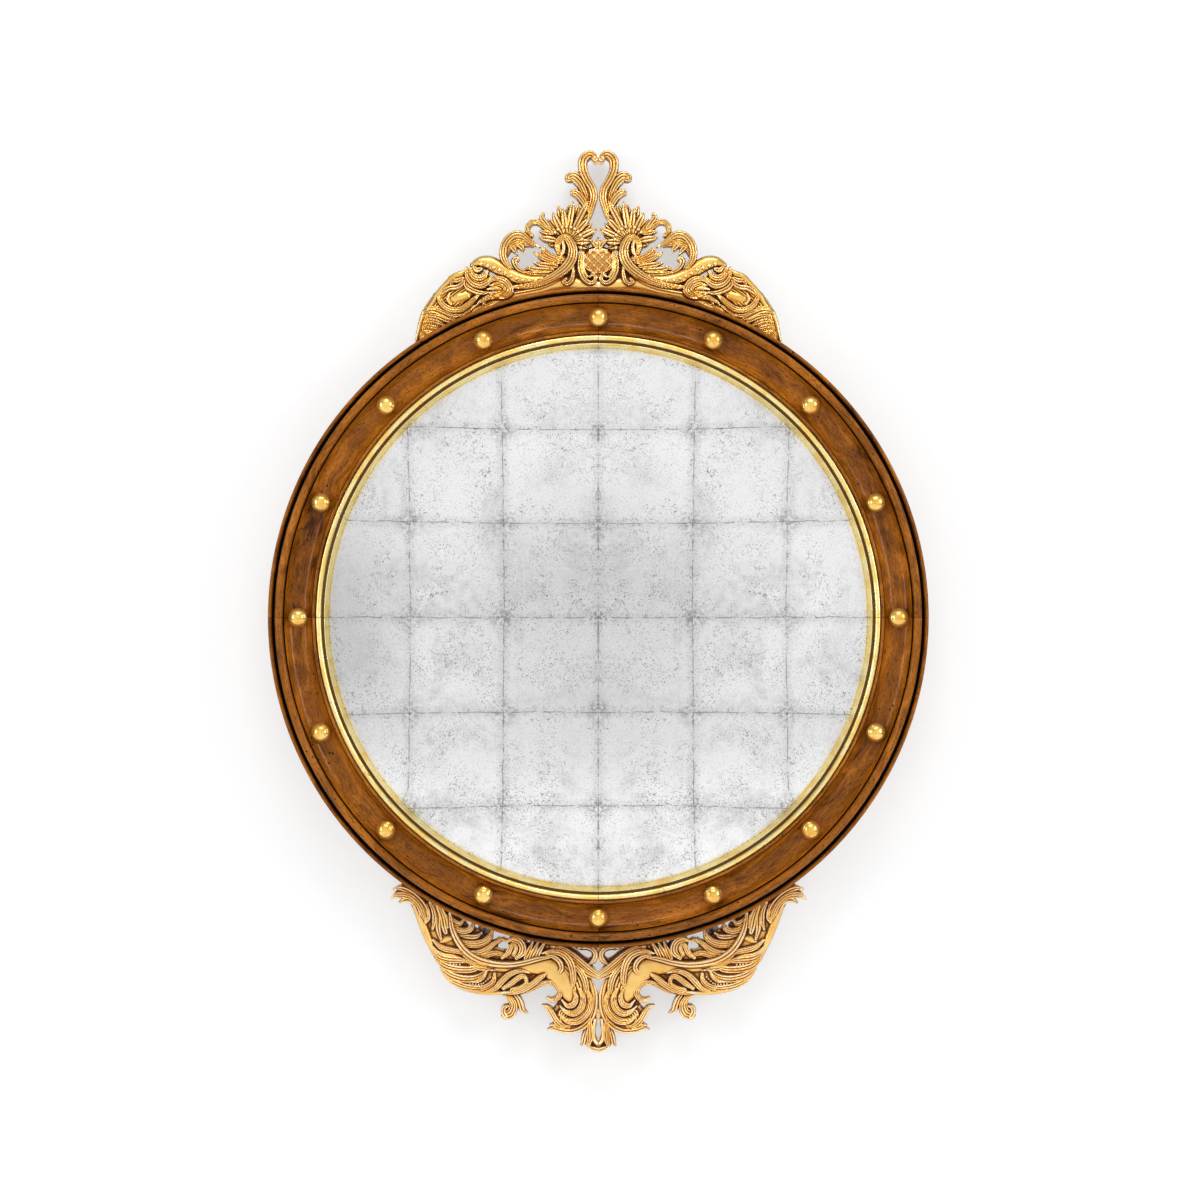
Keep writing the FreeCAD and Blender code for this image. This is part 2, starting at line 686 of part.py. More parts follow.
def bar(radius, length):
    """Round bar along X through the pivot."""
    return Part.makeCylinder(radius, length, Vector(-length / 2.0, depth(pivot_h), 0), Vector(1, 0, 0))


def bow_points(radius, sign):
    """One edge of a ring's bow: up one leg, round the top and down the other."""
    centre_up = ring_in_h - ring_in_w / 2.0
    points = [Vector(sign * radius, 0, -pin_r)]
    for k in range(ring_flats + 1):
        angle = math.pi * k / ring_flats
        points.append(Vector(sign * radius * math.cos(angle), 0, centre_up + radius * math.sin(angle)))
    points.append(Vector(-sign * radius, 0, -pin_r))
    return points


def build_hangers():
    """Strap hangers: a plate folded round the bar of a D-shaped ring."""
    plate = Part.makeBox(hanger_plate_w, hanger_plate_t, hanger_plate_l,
                         Vector(-hanger_plate_w / 2, -pad_t, -hanger_plate_l))
    bore_r = pin_r + pin_gap
    loop = bar(bore_r + loop_t, hanger_plate_w)
    strap = loop.fuse(plate).cut(bar(bore_r, 2 * hanger_plate_w)).removeSplitter()
    inner = ring_in_w / 2.0
    bow = polygon_face(bow_points(inner + ring_wire, 1) + bow_points(inner, -1))
    ring = bow.extrude(Vector(0, ring_wire, 0))
    ring.translate(Vector(0, depth(pivot_h) - ring_wire / 2.0, 0))
    ring = ring.fuse(bar(pin_r, ring_in_w)).removeSplitter()
    screws = hanger_screws()
    for sign, side in ((-1, "left"), (1, "right")):
        save("hanger_strap_" + side, hanger_place(strap, sign).cut(screws))
        save("d_ring_" + side, hanger_place(ring, sign))
    save("hanger_screws", *screws)


def build_pads():
    """Cork pads low on the frame's back."""
    pad = block(pad_w, pad_w, -pad_t, 0.0)
    save("wall_pad_left", around(pad, 270.0 - pad_angle, back_r))
    save("wall_pad_right", around(pad, 270.0 + pad_angle, back_r))


if __name__ == "__main__":
    build_frame()
    build_slip()
    build_glass()
    build_glass_blocks()
    build_panel()
    build_balls()
    build_crest()
    build_boss()
    build_apron()
    build_straps()
    build_hangers()
    build_pads()
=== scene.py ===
"""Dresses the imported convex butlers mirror: turned walnut, carved and gilt relief, and old silver leaf.

Lengths are written in millimetres, as the part's source has them, and become metres where a mesh is made.
Heights are measured from the frame's own flat back, which stands a pad's thickness off the wall.
"""

from __future__ import annotations

import logging
import math
from dataclasses import dataclass, field
from enum import Enum
from typing import Callable, Sequence

import bmesh
import bpy
import numpy as np
from bpy.types import Material, Mesh, Node, NodeSocket, NodeTree, Object
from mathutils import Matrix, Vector

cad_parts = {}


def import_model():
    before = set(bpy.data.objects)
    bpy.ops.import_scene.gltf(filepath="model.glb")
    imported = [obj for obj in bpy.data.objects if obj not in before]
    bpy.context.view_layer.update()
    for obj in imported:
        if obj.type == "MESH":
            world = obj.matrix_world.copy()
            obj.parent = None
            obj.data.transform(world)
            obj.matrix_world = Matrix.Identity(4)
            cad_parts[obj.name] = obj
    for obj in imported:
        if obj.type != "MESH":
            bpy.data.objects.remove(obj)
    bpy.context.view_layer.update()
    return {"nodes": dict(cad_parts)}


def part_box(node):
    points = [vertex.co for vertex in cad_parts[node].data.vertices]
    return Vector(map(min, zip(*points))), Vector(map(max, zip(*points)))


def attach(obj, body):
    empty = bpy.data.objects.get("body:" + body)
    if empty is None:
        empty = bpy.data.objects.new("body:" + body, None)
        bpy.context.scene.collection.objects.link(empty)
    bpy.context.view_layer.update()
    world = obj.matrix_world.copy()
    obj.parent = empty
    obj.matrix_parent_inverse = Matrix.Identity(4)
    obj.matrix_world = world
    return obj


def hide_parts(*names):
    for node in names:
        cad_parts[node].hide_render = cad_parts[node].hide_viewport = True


LOG = logging.getLogger("butlers_mirror")

MM = 0.001
PAD_T = 6.0
FRAME_R = 330.0
BODY = "mirror"

Colour = tuple[float, float, float]
Station = tuple[float, float, float]
Point2 = tuple[float, float]


# ---------------------------------------------------------------- node trees


class Graph:
    """Builds one node tree with few words."""

    def __init__(self, tree: NodeTree) -> None:
        """Keeps the tree that nodes are added to."""
        self.tree = tree

    def node(self, kind: str, **settings: object) -> Node:
        """Adds a node.

        Args:
            kind: The node's type name.
            settings: Properties of the node, such as its operation.

        Returns:
            The new node.
        """
        made = self.tree.nodes.new(kind)
        for key, value in settings.items():
            setattr(made, key, value)
        return made

    def feed(self, socket: NodeSocket, value: object) -> None:
        """Links a socket to another, or sets its constant; None leaves it alone."""
        if isinstance(value, NodeSocket):
            self.tree.links.new(value, socket)
        elif value is not None:
            socket.default_value = value

    def put(self, node: Node, given: dict) -> Node:
        """Feeds a node's inputs, by name or number, and returns the node."""
        for key, value in given.items():
            self.feed(node.inputs[key], value)
        return node

    def fed(self, kind: str, given: dict, **settings: object) -> Node:
        """Adds a node with its settings and feeds its inputs."""
        return self.put(self.node(kind, **settings), given)

    def math(self, operation: str, a: object, b: object = None, clamp: bool = False) -> NodeSocket:
        """Adds a Math node and returns its value."""
        return self.fed("ShaderNodeMath", {0: a, 1: b}, operation=operation, use_clamp=clamp).outputs[0]

    def times(self, a: object, b: object, clamp: bool = False) -> NodeSocket:
        """Multiplies two numbers."""
        return self.math("MULTIPLY", a, b, clamp)

    def vector_math(self, operation: str, a: object, b: object) -> NodeSocket:
        """Adds a Vector Math node and returns its vector."""
        return self.fed("ShaderNodeVectorMath", {0: a, 1: b}, operation=operation).outputs[0]

    def mix(self, share: object, a: object, b: object) -> NodeSocket:
        """Mixes two colours and returns the result."""
        return self.fed("ShaderNodeMix", {0: share, 6: rgba(a), 7: rgba(b)}, data_type="RGBA").outputs[2]

    def lerp(self, share: object, a: object, b: object) -> NodeSocket:
        """Mixes two numbers and returns the result."""
        return self.fed("ShaderNodeMix", {0: share, 2: a, 3: b}, data_type="FLOAT").outputs[0]

    def remap(self, value: object, low: float, high: float, to_low: float = 0.0,
              to_high: float = 1.0) -> NodeSocket:
        """Maps a range smoothly onto another one, and clamps it."""
        given = dict(enumerate((value, low, high, to_low, to_high)))
        return self.fed("ShaderNodeMapRange", given, interpolation_type="SMOOTHSTEP").outputs[0]

    def noise(self, vector: object, scale: object, detail: float = 4.0, roughness: float = 0.55,
              distortion: float = 0.0, output: str = "Fac") -> NodeSocket:
        """Adds a noise texture and returns its value, or its colour."""
        given = {"Vector": vector, "Scale": scale, "Detail": detail, "Roughness": roughness,
                 "Distortion": distortion}
        return self.fed("ShaderNodeTexNoise", given).outputs[output]

    def cells(self, vector: object, scale: object, feature: str = "F1",
              output: str = "Distance") -> NodeSocket:
        """Adds a Voronoi texture and returns one of its outputs."""
        given = {"Vector": vector, "Scale": scale}
        return self.fed("ShaderNodeTexVoronoi", given, feature=feature).outputs[output]

    def stretch(self, vector: object, scale: Sequence[float], turn: float = 0.0) -> NodeSocket:
        """Scales a vector, and turns it about Z, through a Mapping node."""
        given = {"Vector": vector, "Scale": tuple(scale), "Rotation": (0.0, 0.0, turn)}
        return self.fed("ShaderNodeMapping", given).outputs[0]

    def split(self, vector: object) -> tuple[NodeSocket, ...]:
        """Returns the three numbers of a vector."""
        return tuple(self.fed("ShaderNodeSeparateXYZ", {0: vector}).outputs[:3])

    def join(self, x: object, y: object, z: object) -> NodeSocket:
        """Returns the vector of three numbers."""
        return self.fed("ShaderNodeCombineXYZ", {0: x, 1: y, 2: z}).outputs[0]

    def object_coords(self) -> NodeSocket:
        """Returns the piece's own Object coordinates."""
        return self.node("ShaderNodeTexCoord").outputs["Object"]

    def uv(self, name: str) -> NodeSocket:
        """Returns a UV map of the piece."""
        return self.node("ShaderNodeUVMap", uv_map=name).outputs[0]

    def attribute(self, name: str) -> NodeSocket:
        """Returns a number kept on the piece's vertices."""
        return self.node("ShaderNodeAttribute", attribute_name=name).outputs["Fac"]

    def bump(self, height: object, distance: float, strength: float = 1.0) -> NodeSocket:
        """Adds a Bump node and returns its normal."""
        given = {"Strength": strength, "Distance": distance, "Height": height}
        return self.fed("ShaderNodeBump", given).outputs[0]

    def effect(self, shared: Effect, **inputs: object) -> Node:
        """Places a shared effect in this tree.

        Args:
            shared: The effect.
            inputs: Values or sockets, by input name with underscores for spaces.

        Returns:
            The group node, whose outputs are read by name.
        """
        given = {label.replace("_", " "): rgba(value) for label, value in inputs.items()}
        return self.fed("ShaderNodeGroup", given, node_tree=shared.tree())


def rgba(value: object) -> object:
    """Gives a colour its alpha; anything else is returned as it is."""
    if isinstance(value, tuple) and len(value) == 3:
        return (*value, 1.0)
    return value


@dataclass
class Effect:
    """A shared shader effect: a node group with named inputs and outputs, built once.

    The inputs hold their defaults: "vector" makes a vector, a triple a colour, a number a value. An output
    whose name ends in Colour is a colour. Fill turns the input sockets into the output sockets.
    """

    name: str
    inputs: dict[str, object]
    outputs: Sequence[str]
    fill: Callable[[Graph, dict], dict]

    def tree(self) -> NodeTree:
        """Returns the node group, and builds it on its first use."""
        found = bpy.data.node_groups.get(self.name)
        return found or self.build()

    def build(self) -> NodeTree:
        """Builds the node group and returns it."""
        tree = bpy.data.node_groups.new(self.name, "ShaderNodeTree")
        for label, default in self.inputs.items():
            kind = "Vector" if default == "vector" else "Color" if isinstance(default, tuple) else "Float"
            made = tree.interface.new_socket(label, in_out="INPUT", socket_type="NodeSocket" + kind)
            if kind != "Vector":
                made.default_value = rgba(default)
        for label in self.outputs:
            kind = "Color" if label.endswith("Colour") else "Float"
            tree.interface.new_socket(label, in_out="OUTPUT", socket_type="NodeSocket" + kind)
        graph = Graph(tree)
        given = graph.node("NodeGroupInput")
        result = graph.node("NodeGroupOutput")
        sockets = {label: given.outputs[label] for label in self.inputs}
        for label, socket in self.fill(graph, sockets).items():
            graph.feed(result.inputs[label], socket)
        return tree


def fill_grain(g: Graph, at: dict) -> dict:
    """Wood figure: long streaks, broad slanting bands, fine pores."""
    streak_at = g.stretch(at["Vector"], (9.0, 150.0, 60.0))
    bend = g.noise(at["Vector"], 14.0, 2.0)
    bent = g.vector_math("ADD", streak_at, g.join(0.0, g.times(bend, 7.0), 0.0))
    streak = g.noise(bent, 1.0, 7.0, 0.62)
    band_at = g.stretch(at["Vector"], (22.0, 34.0, 20.0), 0.62)
    band = g.noise(band_at, 1.0, 3.0, 0.5, 1.2)
    patch = g.noise(at["Vector"], 5.0, 2.0)
    pore_at = g.stretch(at["Vector"], (240.0, 900.0, 400.0), 0.45)
    pore = g.remap(g.noise(pore_at, 1.0, 3.0, 0.6), 0.54, 0.66)
    fine_at = g.stretch(at["Vector"], (70.0, 520.0, 200.0), 0.55)
    fine = g.noise(fine_at, 1.0, 4.0, 0.65)
    broad = g.math("ADD", g.times(streak, 0.38), g.times(band, 0.36))
    tone = g.math("ADD", broad, g.times(fine, 0.26))
    dark_mid = g.mix(g.remap(tone, 0.37, 0.49), at["Dark"], at["Mid"])
    light = g.mix(g.remap(tone, 0.48, 0.60), dark_mid, at["Light"])
    warm = g.mix(g.remap(patch, 0.42, 0.72, 0.0, 0.55), light, at["Light"])
    colour = g.mix(g.times(pore, at["Pores"]), warm, at["Dark"])
    height = g.math("SUBTRACT", g.times(streak, 0.3), pore)
    return {"Colour": colour, "Pores": pore, "Height": height}


def fill_worm(g: Graph, at: dict) -> dict:
    """Scattered worm holes and small dents."""
    hole = g.cells(at["Vector"], at["Density"])
    spread = g.noise(at["Vector"], g.times(at["Density"], 0.18), 2.0)
    limit = g.times(g.remap(spread, 0.42, 0.70), at["Size"])
    mask = g.remap(g.math("DIVIDE", hole, g.math("MAXIMUM", limit, 0.001)), 1.0, 0.55)
    return {"Mask": mask}


def fill_joint(g: Graph, at: dict) -> dict:
    """Thin lines where the four segments of a ring meet, at the top, bottom and sides."""
    x, _, z = g.split(at["Vector"])
    wave = g.noise(at["Vector"], 90.0, 2.0)
    near = g.math("MINIMUM", g.math("ABSOLUTE", x), g.math("ABSOLUTE", z))
    wide = g.times(at["Width"], g.math("ADD", wave, 0.4))
    mask = g.remap(g.math("DIVIDE", near, wide), 1.0, 0.4)
    return {"Mask": mask}


def fill_leaf(g: Graph, at: dict) -> dict:
    """Worn gilding, leaf over red bole over gesso: painted shade in the cuts, a painted highlight on the
    ridges.
    """
    broad = g.noise(at["Vector"], 26.0, 4.0, 0.6)
    fine = g.noise(at["Vector"], 210.0, 5.0, 0.65)
    # Deep marks the cuts. There the recess colour is partly the wash that old gilding keeps in its hollows,
    # and partly painted shade.
    deep = g.remap(g.math("ADD", at["Depth"], g.times(g.math("SUBTRACT", broad, 0.5), 0.35)),
                   0.56, 0.16)
    # The deepest lines are drawn towards a near-black painted shade.
    lines = g.remap(at["Depth"], 0.26, 0.02)
    gold = g.mix(g.remap(broad, 0.35, 0.68), at["Gold"], at["Warm"])
    recess = g.mix(g.times(lines, 0.8), at["Recess"], at["Grime"])
    shaded = g.mix(deep, gold, recess)
    # Pale on the ridges: a painted highlight, broken up by fine noise.
    ridge_highlight = g.remap(g.math("ADD", at["Ridge"], g.times(g.math("SUBTRACT", fine, 0.5), 0.9)),
                  0.62, 0.95)
    marked = g.mix(g.times(ridge_highlight, at["Rub"]), shaded, at["Pale"])
    bare = g.remap(g.noise(at["Vector"], 75.0, 6.0, 0.7), 0.61, 0.70)
    bare_share = g.times(bare, at["Wear"])
    colour = g.mix(bare_share, marked, at["Bole"])
    dull = g.math("MAXIMUM", g.times(deep, 0.75), bare_share)
    height = g.math("ADD", g.times(fine, 0.5), g.times(bare_share, -0.6))
    return {"Colour": colour, "Dull": dull, "Height": height}


def fill_dust(g: Graph, at: dict) -> dict:
    """Grey dust that settles on faces that look up."""
    normal = g.node("ShaderNodeNewGeometry").outputs["Normal"]
    upward = g.remap(g.split(normal)[2], 0.25, 1.0)
    cloud = g.noise(at["Vector"], 120.0, 5.0, 0.7)
    mask = g.times(g.times(upward, cloud), at["Amount"], clamp=True)
    return {"Mask": mask}


def fill_tarnish(g: Graph, at: dict) -> dict:
    """Blotches and fine scratches of old metal."""
    blotch = g.noise(at["Vector"], 160.0, 5.0, 0.6)
    scratch_at = g.stretch(at["Vector"], (2400.0, 500.0, 260.0), 0.5)
    scratch = g.noise(scratch_at, 1.0, 3.0)
    colour = g.mix(g.remap(blotch, 0.40, 0.66), at["Metal"], at["Stain"])
    return {"Colour": colour, "Blotch": blotch, "Height": scratch}


GRAIN = Effect("wood_figure", {"Vector": "vector", "Light": (0.3, 0.1, 0.02), "Mid": (0.2, 0.07, 0.01),
                               "Dark": (0.05, 0.02, 0.005), "Pores": 0.6},
               ("Colour", "Pores", "Height"), fill_grain)
WORM = Effect("worm_holes", {"Vector": "vector", "Density": 60.0, "Size": 0.1}, ("Mask",), fill_worm)
JOINT = Effect("segment_joints", {"Vector": "vector", "Width": 0.0004}, ("Mask",), fill_joint)
# This leaf effect also paints shade into the cuts and a highlight onto the ridges.
LEAF = Effect("worn_leaf_and_painted_light", {"Vector": "vector", "Depth": 0.5, "Ridge": 0.0, "Gold": (0.9, 0.6, 0.2),
                            "Warm": (0.8, 0.4, 0.1), "Recess": (0.3, 0.1, 0.02), "Pale": (1.0, 0.8, 0.5),
                            "Bole": (0.3, 0.06, 0.02), "Grime": (0.05, 0.02, 0.005), "Rub": 0.6,
                            "Wear": 0.6},
              ("Colour", "Dull", "Height"), fill_leaf)
DUST = Effect("settled_dust", {"Vector": "vector", "Amount": 0.4}, ("Mask",), fill_dust)
TARNISH = Effect("tarnish", {"Vector": "vector", "Metal": (0.5, 0.5, 0.5), "Stain": (0.2, 0.2, 0.2)},
                 ("Colour", "Blotch", "Height"), fill_tarnish)


# ------------------------------------------------------------------ finishes


@dataclass(frozen=True)
class Finish:
    """A finish: its material's name, and constants of its surface."""

    name: str
    roughness: float = 0.5
    metallic: float = 0.0
    coat: float = 0.0
    coat_roughness: float = 0.1

    def material(self) -> Material:
        """Returns the finish's material, and builds it on its first use."""
        found = bpy.data.materials.get(self.name)
        if found:
            return found
        made = bpy.data.materials.new(self.name)
        made.use_nodes = True
        shader = made.node_tree.nodes["Principled BSDF"]
        g = Graph(made.node_tree)
        g.put(shader, {"Roughness": self.roughness, "Metallic": self.metallic,
                       "Coat Weight": self.coat, "Coat Roughness": self.coat_roughness})
        self.shade(g, shader)
        return made

    def shade(self, g: Graph, shader: Node) -> None:
        """Adds the nodes that feed the shader; each finish has its own."""


@dataclass(frozen=True)
class WalnutVeneer(Finish):
    """Waxed walnut on the mouldings: figured grain round the ring, worm holes, black grooves."""

    light: Colour = (0.450, 0.148, 0.012)
    mid: Colour = (0.235, 0.072, 0.005)
    dark: Colour = (0.042, 0.012, 0.002)
    groove: Colour = (0.004, 0.003, 0.002)
    joint_share: float = 0.5
    sheen_level: float = 0.06

    def shade(self, g: Graph, shader: Node) -> None:
        """Lays the figure along the ring's own UV map, and darkens the turned grooves."""
        ring = g.uv("ring")
        place = g.object_coords()
        grain = g.effect(GRAIN, Vector=ring, Light=self.light, Mid=self.mid, Dark=self.dark,
                         Pores=0.85)
        holes = g.effect(WORM, Vector=place, Density=150.0, Size=0.22)
        joints = g.effect(JOINT, Vector=place, Width=0.0004)
        seam = g.times(joints.outputs["Mask"], self.joint_share)
        marks = g.math("MAXIMUM", holes.outputs["Mask"], seam)
        black = g.attribute("groove")
        colour = g.mix(g.math("MAXIMUM", marks, black), grain.outputs["Colour"], self.groove)
        g.feed(shader.inputs["Base Color"], colour)
        cloud = g.noise(place, 60.0, 4.0)
        gloss = g.remap(cloud, 0.3, 0.7, self.roughness - 0.08, self.roughness + 0.12)
        g.feed(shader.inputs["Roughness"], g.lerp(black, gloss, 0.85))
        g.feed(shader.inputs["Coat Weight"], g.lerp(black, self.coat, 0.0))
        shader.inputs["Specular IOR Level"].default_value = self.sheen_level
        relief = g.math("SUBTRACT", g.times(grain.outputs["Height"], 0.25), marks)
        g.feed(shader.inputs["Normal"], g.bump(relief, 0.0004, 0.7))


@dataclass(frozen=True)
class CarvedGilding(Finish):
    """Worn water gilding of carved wood, with painted shade and highlights from the cut depths and ridges on
    its vertices.
    """

    gold: Colour = (1.0, 0.66, 0.19)
    warm: Colour = (0.90, 0.48, 0.09)
    # Recess colour: partly the old wash in the hollows, partly painted shade.
    recess: Colour = (0.42, 0.145, 0.018)
    # Colour of the painted highlight on the ridges.
    pale: Colour = (1.0, 0.88, 0.55)
    bole: Colour = (0.40, 0.12, 0.024)
    # Near-black painted shade in the deepest cuts.
    cut_shade: Colour = (0.060, 0.020, 0.005)
    # Share of the pale painted highlight on the ridges.
    ridge_highlight: float = 0.70
    wear: float = 0.55

    def shade(self, g: Graph, shader: Node) -> None:
        """Feeds colour, gloss and leaf texture from the carving's depth and ridge marks."""
        place = g.object_coords()
        # Depth paints shade into the cuts, and ridge paints the pale highlight on the crests.
        leaf = g.effect(LEAF, Vector=place, Depth=g.attribute("depth"), Ridge=g.attribute("ridge"),
                        Gold=self.gold, Warm=self.warm, Recess=self.recess, Pale=self.pale,
                        Bole=self.bole, Grime=self.cut_shade, Rub=self.ridge_highlight, Wear=self.wear)
        dust = g.effect(DUST, Vector=place, Amount=0.22)
        colour = g.mix(dust.outputs["Mask"], leaf.outputs["Colour"], (0.50, 0.42, 0.32))
        g.feed(shader.inputs["Base Color"], colour)
        dull = leaf.outputs["Dull"]
        g.feed(shader.inputs["Roughness"], g.lerp(dull, self.roughness, 0.62))
        g.feed(shader.inputs["Metallic"], g.lerp(dull, self.metallic, self.metallic * 0.45))
        g.feed(shader.inputs["Normal"], g.bump(leaf.outputs["Height"], 0.00035, 0.8))


@dataclass(frozen=True)
class BurnishedGold(Finish):
    """Bright gold leaf over turned wood, with small pits and darker warm clouds."""

    gold: Colour = (1.0, 0.70, 0.20)
    warm: Colour = (0.86, 0.42, 0.07)
    # Dark of the pits, and also the painted shade of a jointed ring's groove.
    pit_and_shade: Colour = (0.10, 0.035, 0.010)
    ripple: float = 0.08
    jointed: bool = False

    def shade(self, g: Graph, shader: Node) -> None:
        """Mixes two golds, pits them, and marks the joints of a ring, with painted shade in its groove."""
        place = g.object_coords()
        cloud = g.noise(place, 70.0, 4.0, 0.6)
        gold = g.mix(g.remap(cloud, 0.38, 0.66), self.gold, self.warm)
        pits = g.effect(WORM, Vector=place, Density=420.0, Size=0.26)
        mark = pits.outputs["Mask"]
        if self.jointed:
            joints = g.effect(JOINT, Vector=place, Width=0.0004)
            mark = g.math("MAXIMUM", mark, g.times(joints.outputs["Mask"], 0.5))
            # The groove attribute paints shade into the slip's groove, in the same dark as the pits.
            mark = g.math("MAXIMUM", mark, g.attribute("groove"))
        g.feed(shader.inputs["Base Color"], g.mix(mark, gold, self.pit_and_shade))
        g.feed(shader.inputs["Metallic"], g.lerp(mark, self.metallic, 0.2))
        g.feed(shader.inputs["Roughness"], g.lerp(mark, g.remap(cloud, 0.3, 0.7, self.roughness,
                                                                self.roughness + 0.1), 0.6))
        ripple = g.noise(place, 180.0, 3.0)
        height = g.math("SUBTRACT", g.times(ripple, self.ripple), mark)
        g.feed(shader.inputs["Normal"], g.bump(height, 0.00025, 0.6))


@dataclass(frozen=True)
class SilverLeafGlass(Finish):
    """Glass backed with squares of silver leaf: seams, clouds, crackle, foxing and a painted reflection."""

    silver: Colour = (0.96, 0.96, 0.965)
    cloud: Colour = (0.50, 0.50, 0.505)
    seam: Colour = (0.15, 0.15, 0.15)
    fox: Colour = (0.15, 0.15, 0.15)
    leaf_pitch: float = 93.5
    seam_w: float = 0.8
    bow: float = -0.6
    star_r: float = 21.0

    def seams(self, g: Graph, across: object, along: object) -> tuple:
        """Distance in metres to the nearest leaf edge one way, and the leaf's number."""
        pitch = self.leaf_pitch * MM
        sway = g.times(g.times(along, along), g.times(across, self.bow))
        steps = g.math("DIVIDE", g.math("ADD", across, sway), pitch)
        nearest = g.math("ROUND", steps)
        off = g.times(g.math("ABSOLUTE", g.math("SUBTRACT", steps, nearest)), pitch)
        return off, g.math("FLOOR", steps)

    def bend(self, g: Graph, place: object, scale: float, reach: float) -> object:
        """Shifts a place by a soft noise, up to a reach in metres."""
        drift = g.noise(place, scale, 5.0, output="Color")
        centred = g.vector_math("SUBTRACT", drift, (0.5, 0.5, 0.5))
        return g.vector_math("ADD", place, g.vector_math("MULTIPLY", centred, (reach, reach, reach)))

    def hairs(self, g: Graph, place: object, scale: float, width: float) -> object:
        """Short wandering lines, broken up by a second noise, from 0 to 1."""
        level = g.math("ABSOLUTE", g.math("SUBTRACT", g.noise(place, scale, 2.0), 0.5))
        broken = g.remap(g.noise(place, scale * 1.3, 2.0), 0.52, 0.58)
        return g.times(g.remap(level, width, width * 0.3), broken)

    def marks(self, g: Graph, place: object, near: object, cross: object) -> object:
        """Fine specks, short hairs and the dark stars where four leaves meet, from 0 to 1."""
        speck = g.remap(g.noise(place, 640.0, 2.0, 0.6), 0.56, 0.64)
        where = g.remap(g.noise(place, 30.0, 4.0), 0.42, 0.60, 0.30, 1.0)
        line = g.math("MAXIMUM", self.hairs(g, place, 120.0, 0.012), self.hairs(g, place, 60.0, 0.007))
        beside = g.times(g.remap(near, 0.012, 0.001), 0.9)
        patchy = g.math("MAXIMUM", where, beside)
        found = g.times(g.math("MAXIMUM", g.times(speck, 0.66),
                                          g.times(line, 0.90)), patchy)
        ragged = g.remap(g.noise(place, 260.0, 6.0, 0.8), 0.46, 0.58)
        star = g.times(g.remap(cross, self.star_r * MM, 0.0), ragged)
        return g.math("MAXIMUM", found, g.times(star, 0.85))

    def reflected_room(self, g: Graph, x: object, z: object) -> object:
        """Painted reflection of the surroundings: greyer round the middle and toward the left rim, from 0 to
        1.
        """
        middle = g.math("SQRT", g.math("ADD", g.math("POWER", x, 2.0), g.math("POWER", z, 2.0)))
        centre = g.times(g.remap(middle, 0.20, 0.04), 0.44)
        left = g.times(g.remap(x, -0.14, -0.25), g.remap(g.math("ABSOLUTE", z), 0.16, 0.02))
        return g.math("MAXIMUM", centre, g.times(left, 0.62))

    def shade(self, g: Graph, shader: Node) -> None:
        """Draws the leaf squares over the face of the glass, the same on both sides of its middle."""
        given_x, given_y, given_z = g.split(g.object_coords())
        place = g.join(g.math("ABSOLUTE", given_x), given_y, given_z)
        x, _, z = g.split(self.bend(g, place, 30.0, 0.0045))
        off_x, leaf_x = self.seams(g, x, z)
        off_z, leaf_z = self.seams(g, z, x)
        near = g.math("MINIMUM", off_x, off_z)
        cross = g.math("SQRT", g.math("ADD", g.math("POWER", off_x, 2.0), g.math("POWER", off_z, 2.0)))
        breaks = g.remap(g.noise(place, 75.0, 4.0), 0.40, 0.56, 0.15, 1.0)
        seam = g.times(g.remap(near, self.seam_w * MM, self.seam_w * MM * 0.2), breaks)
        each = g.node("ShaderNodeTexWhiteNoise", noise_dimensions="2D")
        g.feed(each.inputs["Vector"], g.join(leaf_x, leaf_z, 0.0))
        clouds = g.noise(place, 17.0, 6.0, 0.62, 0.6)
        small = g.noise(place, 95.0, 5.0, 0.7)
        haze = g.math("ADD", g.remap(clouds, 0.42, 0.66), g.times(each.outputs[0], 0.25))
        haze = g.times(haze, g.remap(small, 0.36, 0.62, 0.45, 1.0))
        base = g.mix(g.times(haze, 0.50, clamp=True), self.silver, self.cloud)
        base = g.mix(g.times(g.remap(near, 0.009, 0.001), 0.22), base, self.cloud)
        # The painted reflection of the surroundings greys the middle and the left side.
        base = g.mix(self.reflected_room(g, given_x, given_z), base, self.cloud)
        marked = self.marks(g, place, near, cross)
        colour = g.mix(marked, base, self.fox)
        g.feed(shader.inputs["Base Color"], g.mix(g.times(seam, 0.72), colour, self.seam))
        dull = g.math("MAXIMUM", marked, g.times(seam, 0.5))
        smooth = g.remap(clouds, 0.35, 0.7, self.roughness, self.roughness + 0.16)
        g.feed(shader.inputs["Roughness"], g.lerp(dull, smooth, 0.55))
        g.feed(shader.inputs["Normal"], g.bump(g.noise(place, 9.0, 2.0), 0.004, 0.25))


